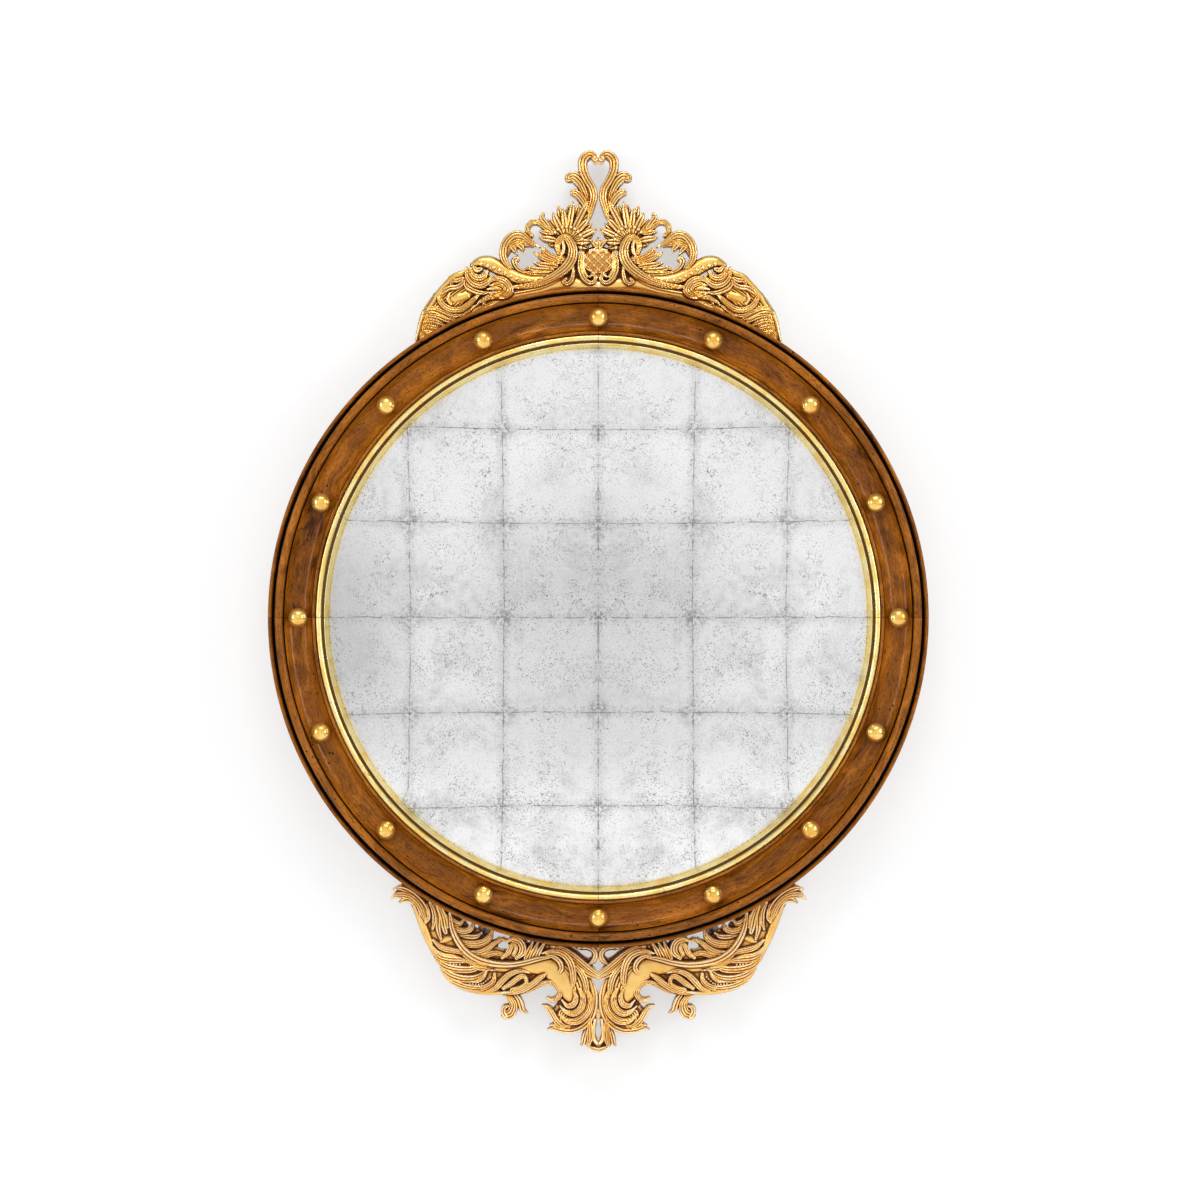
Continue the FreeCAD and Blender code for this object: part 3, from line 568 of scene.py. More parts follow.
@dataclass(frozen=True)
class RawWood(Finish):
    """Bare softwood at the back, greyed and stained with age."""

    light: Colour = (0.42, 0.27, 0.135)
    mid: Colour = (0.30, 0.175, 0.080)
    dark: Colour = (0.13, 0.070, 0.030)

    def shade(self, g: Graph, shader: Node) -> None:
        """Runs the grain up the boards and stains it."""
        place = g.object_coords()
        x, y, z = g.split(place)
        upright = g.join(z, x, y)
        grain = g.effect(GRAIN, Vector=upright, Light=self.light, Mid=self.mid, Dark=self.dark,
                         Pores=0.4)
        holes = g.effect(WORM, Vector=place, Density=90.0, Size=0.14)
        stain = g.remap(g.noise(place, 7.0, 5.0, 0.6), 0.48, 0.70)
        colour = g.mix(g.times(stain, 0.55), grain.outputs["Colour"], self.dark)
        g.feed(shader.inputs["Base Color"], g.mix(holes.outputs["Mask"], colour, (0.02, 0.012, 0.008)))
        height = g.math("SUBTRACT", g.times(grain.outputs["Height"], 0.4), holes.outputs["Mask"])
        g.feed(shader.inputs["Normal"], g.bump(height, 0.0005, 0.8))


@dataclass(frozen=True)
class AgedMetal(Finish):
    """Plated or plain metal with stains and fine scratches."""

    metal: Colour = (0.52, 0.52, 0.50)
    stain: Colour = (0.20, 0.18, 0.16)

    def shade(self, g: Graph, shader: Node) -> None:
        """Stains and scratches the metal."""
        place = g.object_coords()
        old = g.effect(TARNISH, Vector=place, Metal=self.metal, Stain=self.stain)
        g.feed(shader.inputs["Base Color"], old.outputs["Colour"])
        g.feed(shader.inputs["Roughness"], g.remap(old.outputs["Blotch"], 0.35, 0.7, self.roughness,
                                                   self.roughness + 0.3))
        g.feed(shader.inputs["Normal"], g.bump(old.outputs["Height"], 0.0001, 0.5))


@dataclass(frozen=True)
class PressedCork(Finish):
    """Pressed cork of the wall pads, in dark and light crumbs."""

    light: Colour = (0.50, 0.30, 0.14)
    dark: Colour = (0.16, 0.075, 0.030)

    def shade(self, g: Graph, shader: Node) -> None:
        """Packs crumbs of two tones and sinks their edges."""
        place = g.object_coords()
        crumb = g.cells(place, 700.0, "F1", "Color")
        tone = g.split(crumb)[0]
        edge = g.cells(place, 700.0, "DISTANCE_TO_EDGE")
        g.feed(shader.inputs["Base Color"], g.mix(g.remap(tone, 0.1, 0.95), self.light, self.dark))
        g.feed(shader.inputs["Normal"], g.bump(g.remap(edge, 0.0, 0.12), 0.0004, 0.8))


WALNUT = WalnutVeneer("waxed_walnut", roughness=0.34, coat=0.20, coat_roughness=0.12)
CREST_GILDING = CarvedGilding("crest_gilding", roughness=0.26, metallic=0.95)
APRON_GILDING = CarvedGilding("apron_gilding", roughness=0.36, metallic=0.88, gold=(1.0, 0.66, 0.22),
                              warm=(0.88, 0.48, 0.11), pale=(1.0, 0.88, 0.62), ridge_highlight=0.78, wear=0.45)
BALL_GOLD = BurnishedGold("ball_gold", roughness=0.22, metallic=0.86, ripple=0.03)
SLIP_GOLD = BurnishedGold("slip_gold", roughness=0.26, metallic=0.92, gold=(1.0, 0.84, 0.38),
                          warm=(0.95, 0.66, 0.18), jointed=True)
SILVER_GLASS = SilverLeafGlass("silver_leaf_glass", roughness=0.16, metallic=1.0, coat=0.6,
                               coat_roughness=0.03)
PINE = RawWood("raw_pine", roughness=0.72)
FRAME_BACK = RawWood("frame_back_wood", roughness=0.68, light=(0.26, 0.13, 0.055),
                     mid=(0.16, 0.075, 0.030))
CARVING_BACK = RawWood("carving_back_wood", roughness=0.74, light=(0.36, 0.22, 0.10),
                       mid=(0.22, 0.12, 0.05))
IRON = AgedMetal("forged_iron", roughness=0.45, metallic=0.9, metal=(0.16, 0.14, 0.13),
                 stain=(0.12, 0.05, 0.02))
STEEL = AgedMetal("zinc_steel", roughness=0.32, metallic=1.0)
BRASS = AgedMetal("old_brass", roughness=0.28, metallic=1.0, metal=(0.72, 0.50, 0.18),
                  stain=(0.30, 0.17, 0.06))
CORK = PressedCork("pressed_cork", roughness=0.85)


# -------------------------------------------------------------------- meshes


def height_y(height: object) -> object:
    """Y in metres of a height in millimetres above the frame's back."""
    return -(PAD_T + height) * MM


def new_object(name: str, data: bpy.types.ID) -> Object:
    """Links a mesh, lamp or camera into the scene as an object at the origin."""
    made = bpy.data.objects.new(name, data)
    bpy.context.scene.collection.objects.link(made)
    return made


def build_mesh(name: str, points: np.ndarray, faces: Sequence[Sequence[int]],
               sharp_over: float = 40.0) -> Mesh:
    """Makes a smooth mesh whose strong corners stay sharp.

    Args:
        name: The mesh's name.
        points: Corners in metres, one row each.
        faces: Corner numbers of each face, seen anticlockwise from outside.
        sharp_over: Angle in degrees past which an edge is sharp.

    Returns:
        The mesh.
    """
    mesh = bpy.data.meshes.new(name)
    mesh.from_pydata(points.tolist(), [], faces)
    mesh.update()
    mesh.shade_smooth()
    mesh.set_sharp_from_angle(angle=math.radians(sharp_over))
    return mesh


def keep_on_vertices(mesh: Mesh, name: str, values: np.ndarray) -> None:
    """Keeps one number on each vertex, for the materials."""
    layer = mesh.attributes.new(name, "FLOAT", "POINT")
    layer.data.foreach_set("value", values.astype(np.float32))


def arc(centre: Point2, radii: Point2, start: float, end: float, steps: int) -> list[Point2]:
    """Points of an oval arc in a section.

    Args:
        centre: Its centre.
        radii: Its half width and half height.
        start: Its first angle in degrees.
        end: Its last angle in degrees.
        steps: The number of chords.

    Returns:
        The points, from start to end.
    """
    turns = [math.radians(start + (end - start) * i / steps) for i in range(steps + 1)]
    return [(centre[0] + radii[0] * math.cos(t), centre[1] + radii[1] * math.sin(t)) for t in turns]


@dataclass(frozen=True)
class Turning:
    """A section turned about the mirror's axis, with fine joints where its segments meet."""

    columns: int = 384
    joint_w: float = 0.7
    joint_d: float = 0.35
    joint_r: float = 300.0
    grain_shift: float = 1730.0

    def angles(self) -> list[tuple[float, float]]:
        """Angle of each column of points, and how deep a joint cuts in there."""
        step = 2.0 * math.pi / self.columns
        found = []
        for i in range(self.columns):
            angle = i * step
            if i % (self.columns // 4) == 0:
                side = self.joint_w / 2.0 / self.joint_r
                found += [(angle - side, 0.0), (angle, self.joint_d), (angle + side, 0.0)]
            else:
                found.append((angle, 0.0))
        return found

    def solid(self, name: str, section: Sequence[Point2], groove: Sequence[float] | None = None,
              closed: bool = True) -> Mesh:
        """Turns a section into a ring.

        Args:
            name: The mesh's name.
            section: Radius and height of its points, from the outer back forward and inward.
            groove: How dark each point is: the walnut's black grooves, and painted shade beside and in
                grooves.
            closed: Whether the last point joins the first one.

        Returns:
            The mesh, with a UV map in metres that runs round the ring and across its section.
        """
        columns = self.angles()
        rows = np.array(section, float)
        turn = np.array([a for a, _ in columns])[:, None]
        cut = np.array([d for _, d in columns])[:, None]
        front = rows[:, 1] > 1.0
        radius = rows[None, :, 0]
        height = rows[None, :, 1] - cut * front[None, :]
        points = np.stack([radius * np.cos(turn), -(PAD_T + height), radius * np.sin(turn)], -1) * MM
        n, m = len(columns), len(rows)
        spans = m if closed else m - 1
        faces = []
        maps = []
        run = np.concatenate([[0.0], np.cumsum(np.hypot(*np.diff(rows, axis=0).T))])
        if closed:
            run = np.append(run, run[-1] + math.dist(section[-1], section[0]))
        middle_r = float(rows[:, 0].mean())
        for i in range(n):
            following = (i + 1) % n
            a0 = columns[i][0]
            a1 = columns[following][0] + (2.0 * math.pi if following == 0 else 0.0)
            quarter = math.floor((a0 + a1) / math.pi + 1e-9)
            u0 = (a0 * middle_r + quarter * self.grain_shift) * MM
            u1 = (a1 * middle_r + quarter * self.grain_shift) * MM
            for j in range(spans):
                k = (j + 1) % m
                faces.append((i * m + j, following * m + j, following * m + k, i * m + k))
                v0 = run[j] * MM
                v1 = run[j + 1] * MM
                maps.append((u0, v0, u1, v0, u1, v1, u0, v1))
        mesh = build_mesh(name, points.reshape(-1, 3), faces, 30.0)
        layer = mesh.uv_layers.new(name="ring")
        layer.data.foreach_set("uv", np.array(maps, np.float32).ravel())
        shades = groove if groove is not None else [0.0] * m
        keep_on_vertices(mesh, "groove", np.tile(np.array(shades), n))
        return mesh


def weld(mesh: Mesh, distance: float = 1e-6) -> None:
    """Merges points that lie on each other, so that poles close."""
    work = bmesh.new()
    work.from_mesh(mesh)
    bmesh.ops.remove_doubles(work, verts=work.verts, dist=distance)
    work.to_mesh(mesh)
    work.free()


def ring_points(rings: Sequence[Point2], sides: int) -> list[Station]:
    """Points of rings about Y, from each ring's radius and how far it stands to the front."""
    turns = [2.0 * math.pi * k / sides for k in range(sides)]
    return [(radius * math.cos(t), -rise, radius * math.sin(t)) for radius, rise in rings for t in turns]


def ring_quads(rings: int, sides: int, closed: bool = False) -> list[tuple[int, ...]]:
    """Faces between rings of points.

    Args:
        rings: The number of rings.
        sides: The number of points in each ring.
        closed: Whether the last ring joins the first one.

    Returns:
        Four corner numbers for each face.
    """
    faces = []
    for i in range(rings if closed else rings - 1):
        a = i * sides
        b = (i + 1) % rings * sides
        for k in range(sides):
            n = (k + 1) % sides
            faces.append((a + k, a + n, b + n, b + k))
    return faces


def swept(name: str, path: Sequence[Vector], radius: float, sides: int = 16) -> Mesh:
    """Makes round wire along a closed path that lies in one XZ plane.

    Args:
        name: The mesh's name.
        path: Points of the wire's middle, in metres.
        radius: The wire's radius, in metres.
        sides: Points round the wire.

    Returns:
        The mesh.
    """
    count = len(path)
    points = []
    for i, place in enumerate(path):
        along = (path[(i + 1) % count] - path[i - 1]).normalized()
        side = Vector((0.0, 1.0, 0.0))
        out = along.cross(side)
        for k in range(sides):
            turn = 2.0 * math.pi * k / sides
            points.append(place + out * (radius * math.cos(turn)) + side * (radius * math.sin(turn)))
    mesh = build_mesh(name, np.array(points), ring_quads(count, sides, True), 50.0)
    repair_normals(mesh)
    return mesh


# ------------------------------------------------------------ geometry nodes


class Setting(Enum):
    """Kinds of input that a repeat's node tree takes, with their socket types."""

    COUNT = "NodeSocketInt"
    LENGTH = "NodeSocketFloat"
    OBJECT = "NodeSocketObject"
    MATERIAL = "NodeSocketMaterial"


class Repeats:
    """Geometry Nodes trees for what repeats: balls round the cove, beads, studs and screws."""

    def tree(self, name: str, inputs: dict[str, Setting]) -> tuple[NodeTree, Graph, object]:
        """Starts a tree with its geometry sockets and named inputs.

        Args:
            name: The tree's name.
            inputs: The kind of each input.

        Returns:
            The tree, a graph on it, and the sockets of its inputs.
        """
        tree = bpy.data.node_groups.new(name, "GeometryNodeTree")
        tree.interface.new_socket("Geometry", in_out="INPUT", socket_type="NodeSocketGeometry")
        for label, kind in inputs.items():
            tree.interface.new_socket(label, in_out="INPUT", socket_type=kind.value)
        tree.interface.new_socket("Geometry", in_out="OUTPUT", socket_type="NodeSocketGeometry")
        graph = Graph(tree)
        return tree, graph, graph.node("NodeGroupInput").outputs

    def finish(self, g: Graph, instances: object, material: object) -> None:
        """Ends a tree: instances made real, and given their material."""
        real = g.fed("GeometryNodeRealizeInstances", {0: instances}).outputs[0]
        coated = g.fed("GeometryNodeSetMaterial", {"Geometry": real, "Material": material})
        g.fed("NodeGroupOutput", {0: coated.outputs[0]})

    def ball_ring(self) -> NodeTree:
        """Tree that sets turned balls at even steps round a ring, first one at the top."""
        tree, g, given = self.tree("ball_ring", {
            "Count": Setting.COUNT, "Ring Radius": Setting.LENGTH, "Ball Radius": Setting.LENGTH,
            "Depth": Setting.LENGTH, "Material": Setting.MATERIAL,
        })
        circle = g.fed("GeometryNodeMeshCircle", {
            "Vertices": given["Count"], "Radius": given["Ring Radius"],
        })
        stand = g.fed("GeometryNodeTransform", {
            "Geometry": circle.outputs[0], "Rotation": (math.pi / 2.0, math.pi / 2.0, 0.0),
            "Translation": g.join(0.0, given["Depth"], 0.0),
        })
        ball = g.fed("GeometryNodeMeshUVSphere", {
            "Segments": 40, "Rings": 24, "Radius": given["Ball Radius"],
        })
        smooth = g.fed("GeometryNodeSetShadeSmooth", {0: ball.outputs[0]}).outputs[0]
        placed = g.fed("GeometryNodeInstanceOnPoints", {"Points": stand.outputs[0], "Instance": smooth})
        self.finish(g, placed.outputs[0], given["Material"])
        return tree

    def set_on_points(self) -> NodeTree:
        """Tree that sets a copy of a small shape on every point, at the point's own size."""
        found = bpy.data.node_groups.get("set_on_points")
        if found:
            return found
        tree, g, given = self.tree("set_on_points", {"Shape": Setting.OBJECT, "Material": Setting.MATERIAL})
        shape = g.fed("GeometryNodeObjectInfo", {"Object": given["Shape"]}).outputs["Geometry"]
        size, turn = (g.fed("GeometryNodeInputNamedAttribute", {"Name": kept}, data_type="FLOAT").outputs[0]
                      for kept in ("size", "turn"))
        placed = g.fed("GeometryNodeInstanceOnPoints", {
            "Points": given["Geometry"], "Instance": shape, "Scale": g.join(size, size, size),
            "Rotation": g.join(0.0, turn, 0.0),
        })
        self.finish(g, placed.outputs[0], given["Material"])
        return tree

    def run(self, name: str, base: Mesh, tree: NodeTree,
            settings: dict[str, object]) -> Object:
        """Runs a tree on a base mesh and keeps the result as a plain mesh.

        Args:
            name: The finished piece's name.
            base: The mesh that the tree starts from.
            tree: The node tree.
            settings: Value of each named input.

        Returns:
            The finished piece.
        """
        made = new_object(name, base)
        modifier = made.modifiers.new("repeat", "NODES")
        modifier.node_group = tree
        for item in tree.interface.items_tree:
            if item.item_type == "SOCKET" and item.in_out == "INPUT" and item.name in settings:
                modifier[item.identifier] = settings[item.name]
        bpy.context.view_layer.update()
        evaluated = made.evaluated_get(bpy.context.evaluated_depsgraph_get())
        result = bpy.data.meshes.new_from_object(evaluated)
        made.modifiers.clear()
        made.data = result
        return made

    def points(self, name: str, places: Sequence[Vector], sizes: Sequence[float],
               turns: Sequence[float] | None = None) -> Mesh:
        """Loose points with a size and a turn about Y on each one."""
        mesh = bpy.data.meshes.new(name)
        mesh.from_pydata([tuple(p) for p in places], [], [])
        keep_on_vertices(mesh, "size", np.array(sizes, float))
        keep_on_vertices(mesh, "turn", np.array(turns if turns else [0.0] * len(sizes), float))
        return mesh

    def set_out(self, name: str, shape: Mesh, places: Sequence[Vector], sizes: Sequence[float],
                finish: Finish, turns: Sequence[float] | None = None) -> Object:
        """Sets copies of a shape on given places and returns them as one piece."""
        pattern = new_object(name + "_pattern", shape)
        settings = {"Shape": pattern, "Material": finish.material()}
        made = self.run(name, self.points(name, places, sizes, turns), self.set_on_points(), settings)
        bpy.data.objects.remove(pattern)
        return made


REPEATS = Repeats()


def half_pearl(rings: int = 6, sides: int = 14) -> Mesh:
    """A carved pearl of unit radius that bulges to the front, closed at its back."""
    section = [(1.0, -0.35)] + [(math.cos(t), math.sin(t)) for t in np.linspace(0.0, math.pi / 2, rings)]
    points = ring_points(section[:-1], sides) + [(0.0, -1.0, 0.0)]
    last = rings * sides - sides
    faces = [tuple(range(sides))] + ring_quads(rings, sides)
    faces += [(last + k, last + (k + 1) % sides, len(points) - 1) for k in range(sides)]
    mesh = build_mesh("pearl", np.array(points), faces, 60.0)
    repair_normals(mesh)
    # The crown of the pearl gets the ridge mark, a painted highlight. Its foot gets a low depth, painted
    # shade.
    rise = -np.array(points)[:, 1]
    keep_on_vertices(mesh, "depth", np.clip(0.1 + rise, 0.0, 1.0))
    keep_on_vertices(mesh, "ridge", np.clip(rise, 0.0, 1.0))
    return mesh


def repair_normals(mesh: Mesh) -> None:
    """Turns every face of a closed mesh outward."""
    work = bmesh.new()
    work.from_mesh(mesh)
    bmesh.ops.recalc_face_normals(work, faces=work.faces)
    work.to_mesh(mesh)
    work.free()


# ---------------------------------------------------------- carved in relief


class Cut(Enum):
    """How the top of a stroke is carved."""

    FLUTED = "rounded strands between thin cuts"
    ROUND = "plain swelling"
    HOLLOW = "one broad hollow between raised rims"


@dataclass(frozen=True)
class Stroke:
    """One carved stroke: a smooth spine of stations (out, up, half width), its relief and its cut."""

    name: str
    relief: float
    stations: tuple[Station, ...]
    flutes: int = 3
    cut: Cut = Cut.FLUTED
    lean: float = 0.0


def smooth_run(stations: Sequence[Station], step: float = 0.8) -> np.ndarray:
    """Points and half widths along a smooth curve through the stations.

    Args:
        stations: Out, up and half width of each station.
        step: Spacing of the points, in millimetres.

    Returns:
        One row (out, up, half width) for each point.
    """
    knots = np.array(stations, float)
    ends = np.vstack([2 * knots[0] - knots[1], knots, 2 * knots[-1] - knots[-2]])
    ends[0, 2] = knots[0, 2]
    ends[-1, 2] = knots[-1, 2]
    rows = []
    for i in range(len(knots) - 1):
        p0, p1, p2, p3 = ends[i:i + 4]
        d0, d1, d2 = (max(math.dist(a[:2], b[:2]), 0.01) ** 0.5 for a, b in ((p0, p1), (p1, p2), (p2, p3)))
        m1 = ((p1 - p0) / d0 - (p2 - p0) / (d0 + d1) + (p2 - p1) / d1) * d1
        m2 = ((p2 - p1) / d1 - (p3 - p1) / (d1 + d2) + (p3 - p2) / d2) * d1
        count = max(2, math.ceil(math.dist(p1[:2], p2[:2]) / step))
        cubic = 2 * p1 - 2 * p2 + m1 + m2
        square = -3 * p1 + 3 * p2 - 2 * m1 - m2
        rows += [cubic * t ** 3 + square * t ** 2 + m1 * t + p1 for t in np.arange(count) / count]
    rows.append(knots[-1])
    found = np.array(rows)
    found[:, 2] = np.maximum(found[:, 2], 0.25)
    return found


@dataclass
class ReliefGrid:
    """Height field of one half of a carving, cut stroke by stroke."""

    out_range: Point2
    up_range: Point2
    base: float
    ground_h: float
    lift: float
    sign: int
    pitch: float = 0.55
    edge_drop: float = 5.0
    broad_r: float = 3.2
    broad_range: float = 7.5
    close_r: float = 1.1
    close_range: float = 1.6
    plain_depth: float = 0.55
    ridge_gain: float = 2.6
    back_bevel: float = 7.0
    seam_flat: float = 6.0
    frame_flat: float = 8.0
    least_t: float = 3.0
    height: np.ndarray = field(init=False)
    inside: np.ndarray = field(init=False)
    spare: np.ndarray = field(init=False)

    def __post_init__(self) -> None:
        """Lays out the empty grid."""
        self.outs = np.arange(self.out_range[0], self.out_range[1] + self.pitch, self.pitch)
        self.ups = np.arange(self.up_range[0], self.up_range[1] + self.pitch, self.pitch)
        shape = (len(self.outs), len(self.ups))
        self.height = np.full(shape, -1.0)
        self.spare = np.full(shape, -1.0)
        self.inside = np.full(shape, -50.0)

    def window(self, low: Point2, high: Point2) -> tuple[slice, slice]:
        """Part of the grid that covers a box of (out, up)."""
        found = []
        for values, a, b in ((self.outs, low[0], high[0]), (self.ups, low[1], high[1])):
            first = int(np.clip((a - values[0]) // self.pitch, 0, len(values) - 1))
            last = int(np.clip((b - values[0]) // self.pitch + 2, 1, len(values)))
            found.append(slice(first, max(last, first + 1)))
        return found[0], found[1]

    def lay_ground(self, outline: Sequence[Point2]) -> None:
        """Lays the plain ground inside an outline, a little rough from the gouge."""
        depth = self.within(outline)
        self.inside = np.maximum(self.inside, depth)
        rough = 0.5 * np.sin(self.outs[:, None] * 0.9) * np.sin(self.ups[None, :] * 1.1)
        level = self.ground_h + rough
        self.height = np.where(depth > 0, np.maximum(self.height, level), self.height)
        self.spare = np.where(depth > -1.5, np.maximum(self.spare, level), self.spare)

    def within(self, outline: Sequence[Point2]) -> np.ndarray:
        """Signed distance to an outline's edge over the whole grid, positive inside."""
        x = self.outs[:, None]
        y = self.ups[None, :]
        best = np.full(self.height.shape, 1e6)
        crossings = np.zeros(self.height.shape, int)
        for (ax, ay), (bx, by) in zip(outline, list(outline[1:]) + [outline[0]]):
            length = max((bx - ax) ** 2 + (by - ay) ** 2, 1e-9)
            t = np.clip(((x - ax) * (bx - ax) + (y - ay) * (by - ay)) / length, 0, 1)
            best = np.minimum(best, np.hypot(x - ax - t * (bx - ax), y - ay - t * (by - ay)))
            if ay != by:
                crossing = ((ay > y) != (by > y)) & (x < (bx - ax) * (y - ay) / (by - ay) + ax)
                crossings += crossing
        return np.where(crossings % 2 == 1, best, -best)

    def pierce(self, outline: Sequence[Point2]) -> None:
        """Cuts right through inside an outline."""
        self.inside = np.minimum(self.inside, -self.within(outline))

    def carve(self, stroke: Stroke) -> None:
        """Adds one stroke; where strokes cross, the higher one shows."""
        run = smooth_run(stroke.stations)
        widest = run[:, 2].max()
        reach = widest + 2.0
        low = (run[:, 0].min() - reach, run[:, 1].min() - reach)
        high = (run[:, 0].max() + reach, run[:, 1].max() + reach)
        wx, wy = self.window(low, high)
        x, y = np.meshgrid(self.outs[wx], self.ups[wy], indexing="ij")
        best = np.full(x.shape, 1e6)
        side = np.zeros(x.shape)
        half = np.full(x.shape, 0.25)
        for a, b in zip(run[:-1], run[1:]):
            sx, sy = self.window((min(a[0], b[0]) - reach, min(a[1], b[1]) - reach),
                                 (max(a[0], b[0]) + reach, max(a[1], b[1]) + reach))
            part = (slice(sx.start - wx.start, sx.stop - wx.start),
                    slice(sy.start - wy.start, sy.stop - wy.start))
            px, py = x[part], y[part]
            dx, dy = b[0] - a[0], b[1] - a[1]
            length = max(math.hypot(dx, dy), 1e-6)
            t = np.clip(((px - a[0]) * dx + (py - a[1]) * dy) / length ** 2, 0, 1)
            ox, oy = px - a[0] - t * dx, py - a[1] - t * dy
            distance = np.hypot(ox, oy)
            nearer = distance < best[part]
            best[part] = np.where(nearer, distance, best[part])
            side[part] = np.where(nearer, np.sign(dx * oy - dy * ox), side[part])
            half[part] = np.where(nearer, a[2] + (b[2] - a[2]) * t, half[part])
        u = np.clip(best / half, 0.0, 1.0)
        top = self.base + stroke.relief * self.lift
        level = self.ground_h + (top - self.ground_h) * np.clip(half / widest, 0.0, 1.0) ** 0.35
        surface = level + stroke.lean * side * u * np.clip(half / widest, 0, 1) - abs(stroke.lean)
        surface = surface - self.section(stroke, u, side, half)
        for kept, reached in ((self.height, best < half), (self.spare, best < half + 1.5)):
            kept[wx, wy] = np.where(reached, np.maximum(kept[wx, wy], surface), kept[wx, wy])
        self.inside[wx, wy] = np.maximum(self.inside[wx, wy], half - best)

    def section(self, stroke: Stroke, u: np.ndarray, side: np.ndarray, half: np.ndarray) -> np.ndarray:
        """How far a stroke's surface lies under its top.

        Args:
            stroke: The stroke.
            u: Distance from the spine over the half width.
            side: Which side of the spine a point is on.
            half: Half width there.

        Returns:
            The drop, in millimetres.
        """
        drop = np.minimum(self.edge_drop, 0.9 * half + 0.8)
        across = (side * u + 1.0) / 2.0
        if stroke.cut is Cut.ROUND:
            return drop * (1.0 - np.sqrt(np.clip(1.0 - u ** 2, 0, 1)))
        shoulder = drop * (1.0 - np.clip(1.0 - u ** 5, 0, 1) ** 0.5)
        if stroke.cut is Cut.HOLLOW:
            return shoulder + np.minimum(2.6, 0.55 * half) * np.clip(1.0 - (u / 0.8) ** 2, 0, 1)
        count = stroke.flutes
        phase = 2.0 * np.mod(across * count, 1.0) - 1.0
        return shoulder + np.minimum(2.2, 1.7 * half / count) * np.abs(phase) ** 3

    def blur(self, values: np.ndarray, radius: float) -> np.ndarray:
        """Soft average over a radius in millimetres."""
        reach = max(1, int(round(radius / self.pitch)))
        kernel = np.exp(-0.5 * (np.arange(-2 * reach, 2 * reach + 1) / reach) ** 2)
        kernel /= kernel.sum()
        for axis in (0, 1):
            values = np.apply_along_axis(lambda line: np.convolve(line, kernel, "same"), axis, values)
        return values

    def piece(self, name: str, mirrored: bool) -> Mesh:
        """Makes the closed mesh of the half, or of its mirror image.

        Args:
            name: The mesh's name.
            mirrored: Whether this is the left half.

        Returns:
            The mesh, with "depth" and "ridge" kept on its vertices.
        """
        x, y = np.meshgrid(self.outs, self.ups, indexing="ij")
        ring = np.hypot(x, FRAME_R + y) - (FRAME_R + 0.25)
        inside = np.minimum(self.inside, ring)
        middle = (inside[:-1, :-1] + inside[1:, :-1] + inside[:-1, 1:] + inside[1:, 1:]) / 4.0
        cells = middle > 0
        rising = cells[:-1, :-1] & cells[1:, 1:] & ~cells[1:, :-1] & ~cells[:-1, 1:]
        cells[1:, :-1] |= rising
        falling = ~cells[:-1, :-1] & ~cells[1:, 1:] & cells[1:, :-1] & cells[:-1, 1:]
        cells[:-1, :-1] |= falling
        used = np.zeros(x.shape, bool)
        for di, dj in ((0, 0), (1, 0), (0, 1), (1, 1)):
            used[di:di + cells.shape[0], dj:dj + cells.shape[1]] |= cells
        spare = np.where(self.spare > 0, self.spare, self.ground_h)
        height = np.where(self.height > 0, self.height, spare)
        gx, gy = np.gradient(inside, self.pitch)
        slope = np.maximum(gx ** 2 + gy ** 2, 0.2)
        rim = used & (inside < 0.35 * self.pitch) & (x > 1e-6)
        limit = 0.55 * self.pitch
        x = x + np.where(rim, np.clip(-inside * gx / slope, -limit, limit), 0.0)
        y = y + np.where(rim, np.clip(-inside * gy / slope, -limit, limit), 0.0)
        x = np.maximum(x, 0.0)
        filled = np.where(used, height, self.ground_h)
        level = np.where(used, height, self.blur(filled, self.broad_r))
        # Depth and ridge say how far each point lies under or over its neighbours. From them the gilding
        # paints shade into hollows and a highlight onto ridges.
        broad = (level - self.blur(level, self.broad_r)) / self.broad_range
        close = (level - self.blur(level, self.close_r)) / self.close_range
        depth = np.clip(self.plain_depth + broad + close, 0, 1)
        ridge = np.clip(close * self.ridge_gain, 0, 1)
        cover = self.blur(np.where(used, 1.0, 0.0), 3.0)
        back = np.clip((0.93 - cover) * 16.0, 0.0, self.back_bevel)
        back = np.where((x < self.seam_flat) | (ring < self.frame_flat), 0.0, back)
        back = np.minimum(back, height - self.least_t)
        number = np.full(x.shape, -1)
        number[used] = np.arange(used.sum())
        count = int(used.sum())
        flip = -1.0 if mirrored else 1.0
        lift_z = self.sign * (FRAME_R + y)
        front_points = np.stack([flip * x, -(PAD_T + height), lift_z], -1)[used] * MM
        back_points = np.stack([flip * x, -(PAD_T + back), lift_z], -1)[used] * MM
        quads = np.stack([number[:-1, :-1], number[1:, :-1], number[1:, 1:], number[:-1, 1:]], -1)[cells]
        edges = self.outline(cells, number)
        reverse = (self.sign < 0) != mirrored
        front = quads[:, ::-1] if reverse else quads
        rear = (quads if reverse else quads[:, ::-1]) + count
        walls = np.stack([edges[:, 1], edges[:, 0], edges[:, 0] + count, edges[:, 1] + count], -1)
        walls = walls[:, ::-1] if reverse else walls
        faces = np.vstack([front, rear, walls])
        mesh = build_mesh(name, np.vstack([front_points, back_points]), faces.tolist(), 50.0)
        deep = np.full(count, 0.35)
        keep_on_vertices(mesh, "depth", np.concatenate([depth[used], deep]))
        keep_on_vertices(mesh, "ridge", np.concatenate([ridge[used], 0.0 * deep]))
        counts = [len(front), len(rear), len(walls)]
        mesh.polygons.foreach_set("material_index", np.repeat([0, 1, 0], counts))
        return mesh

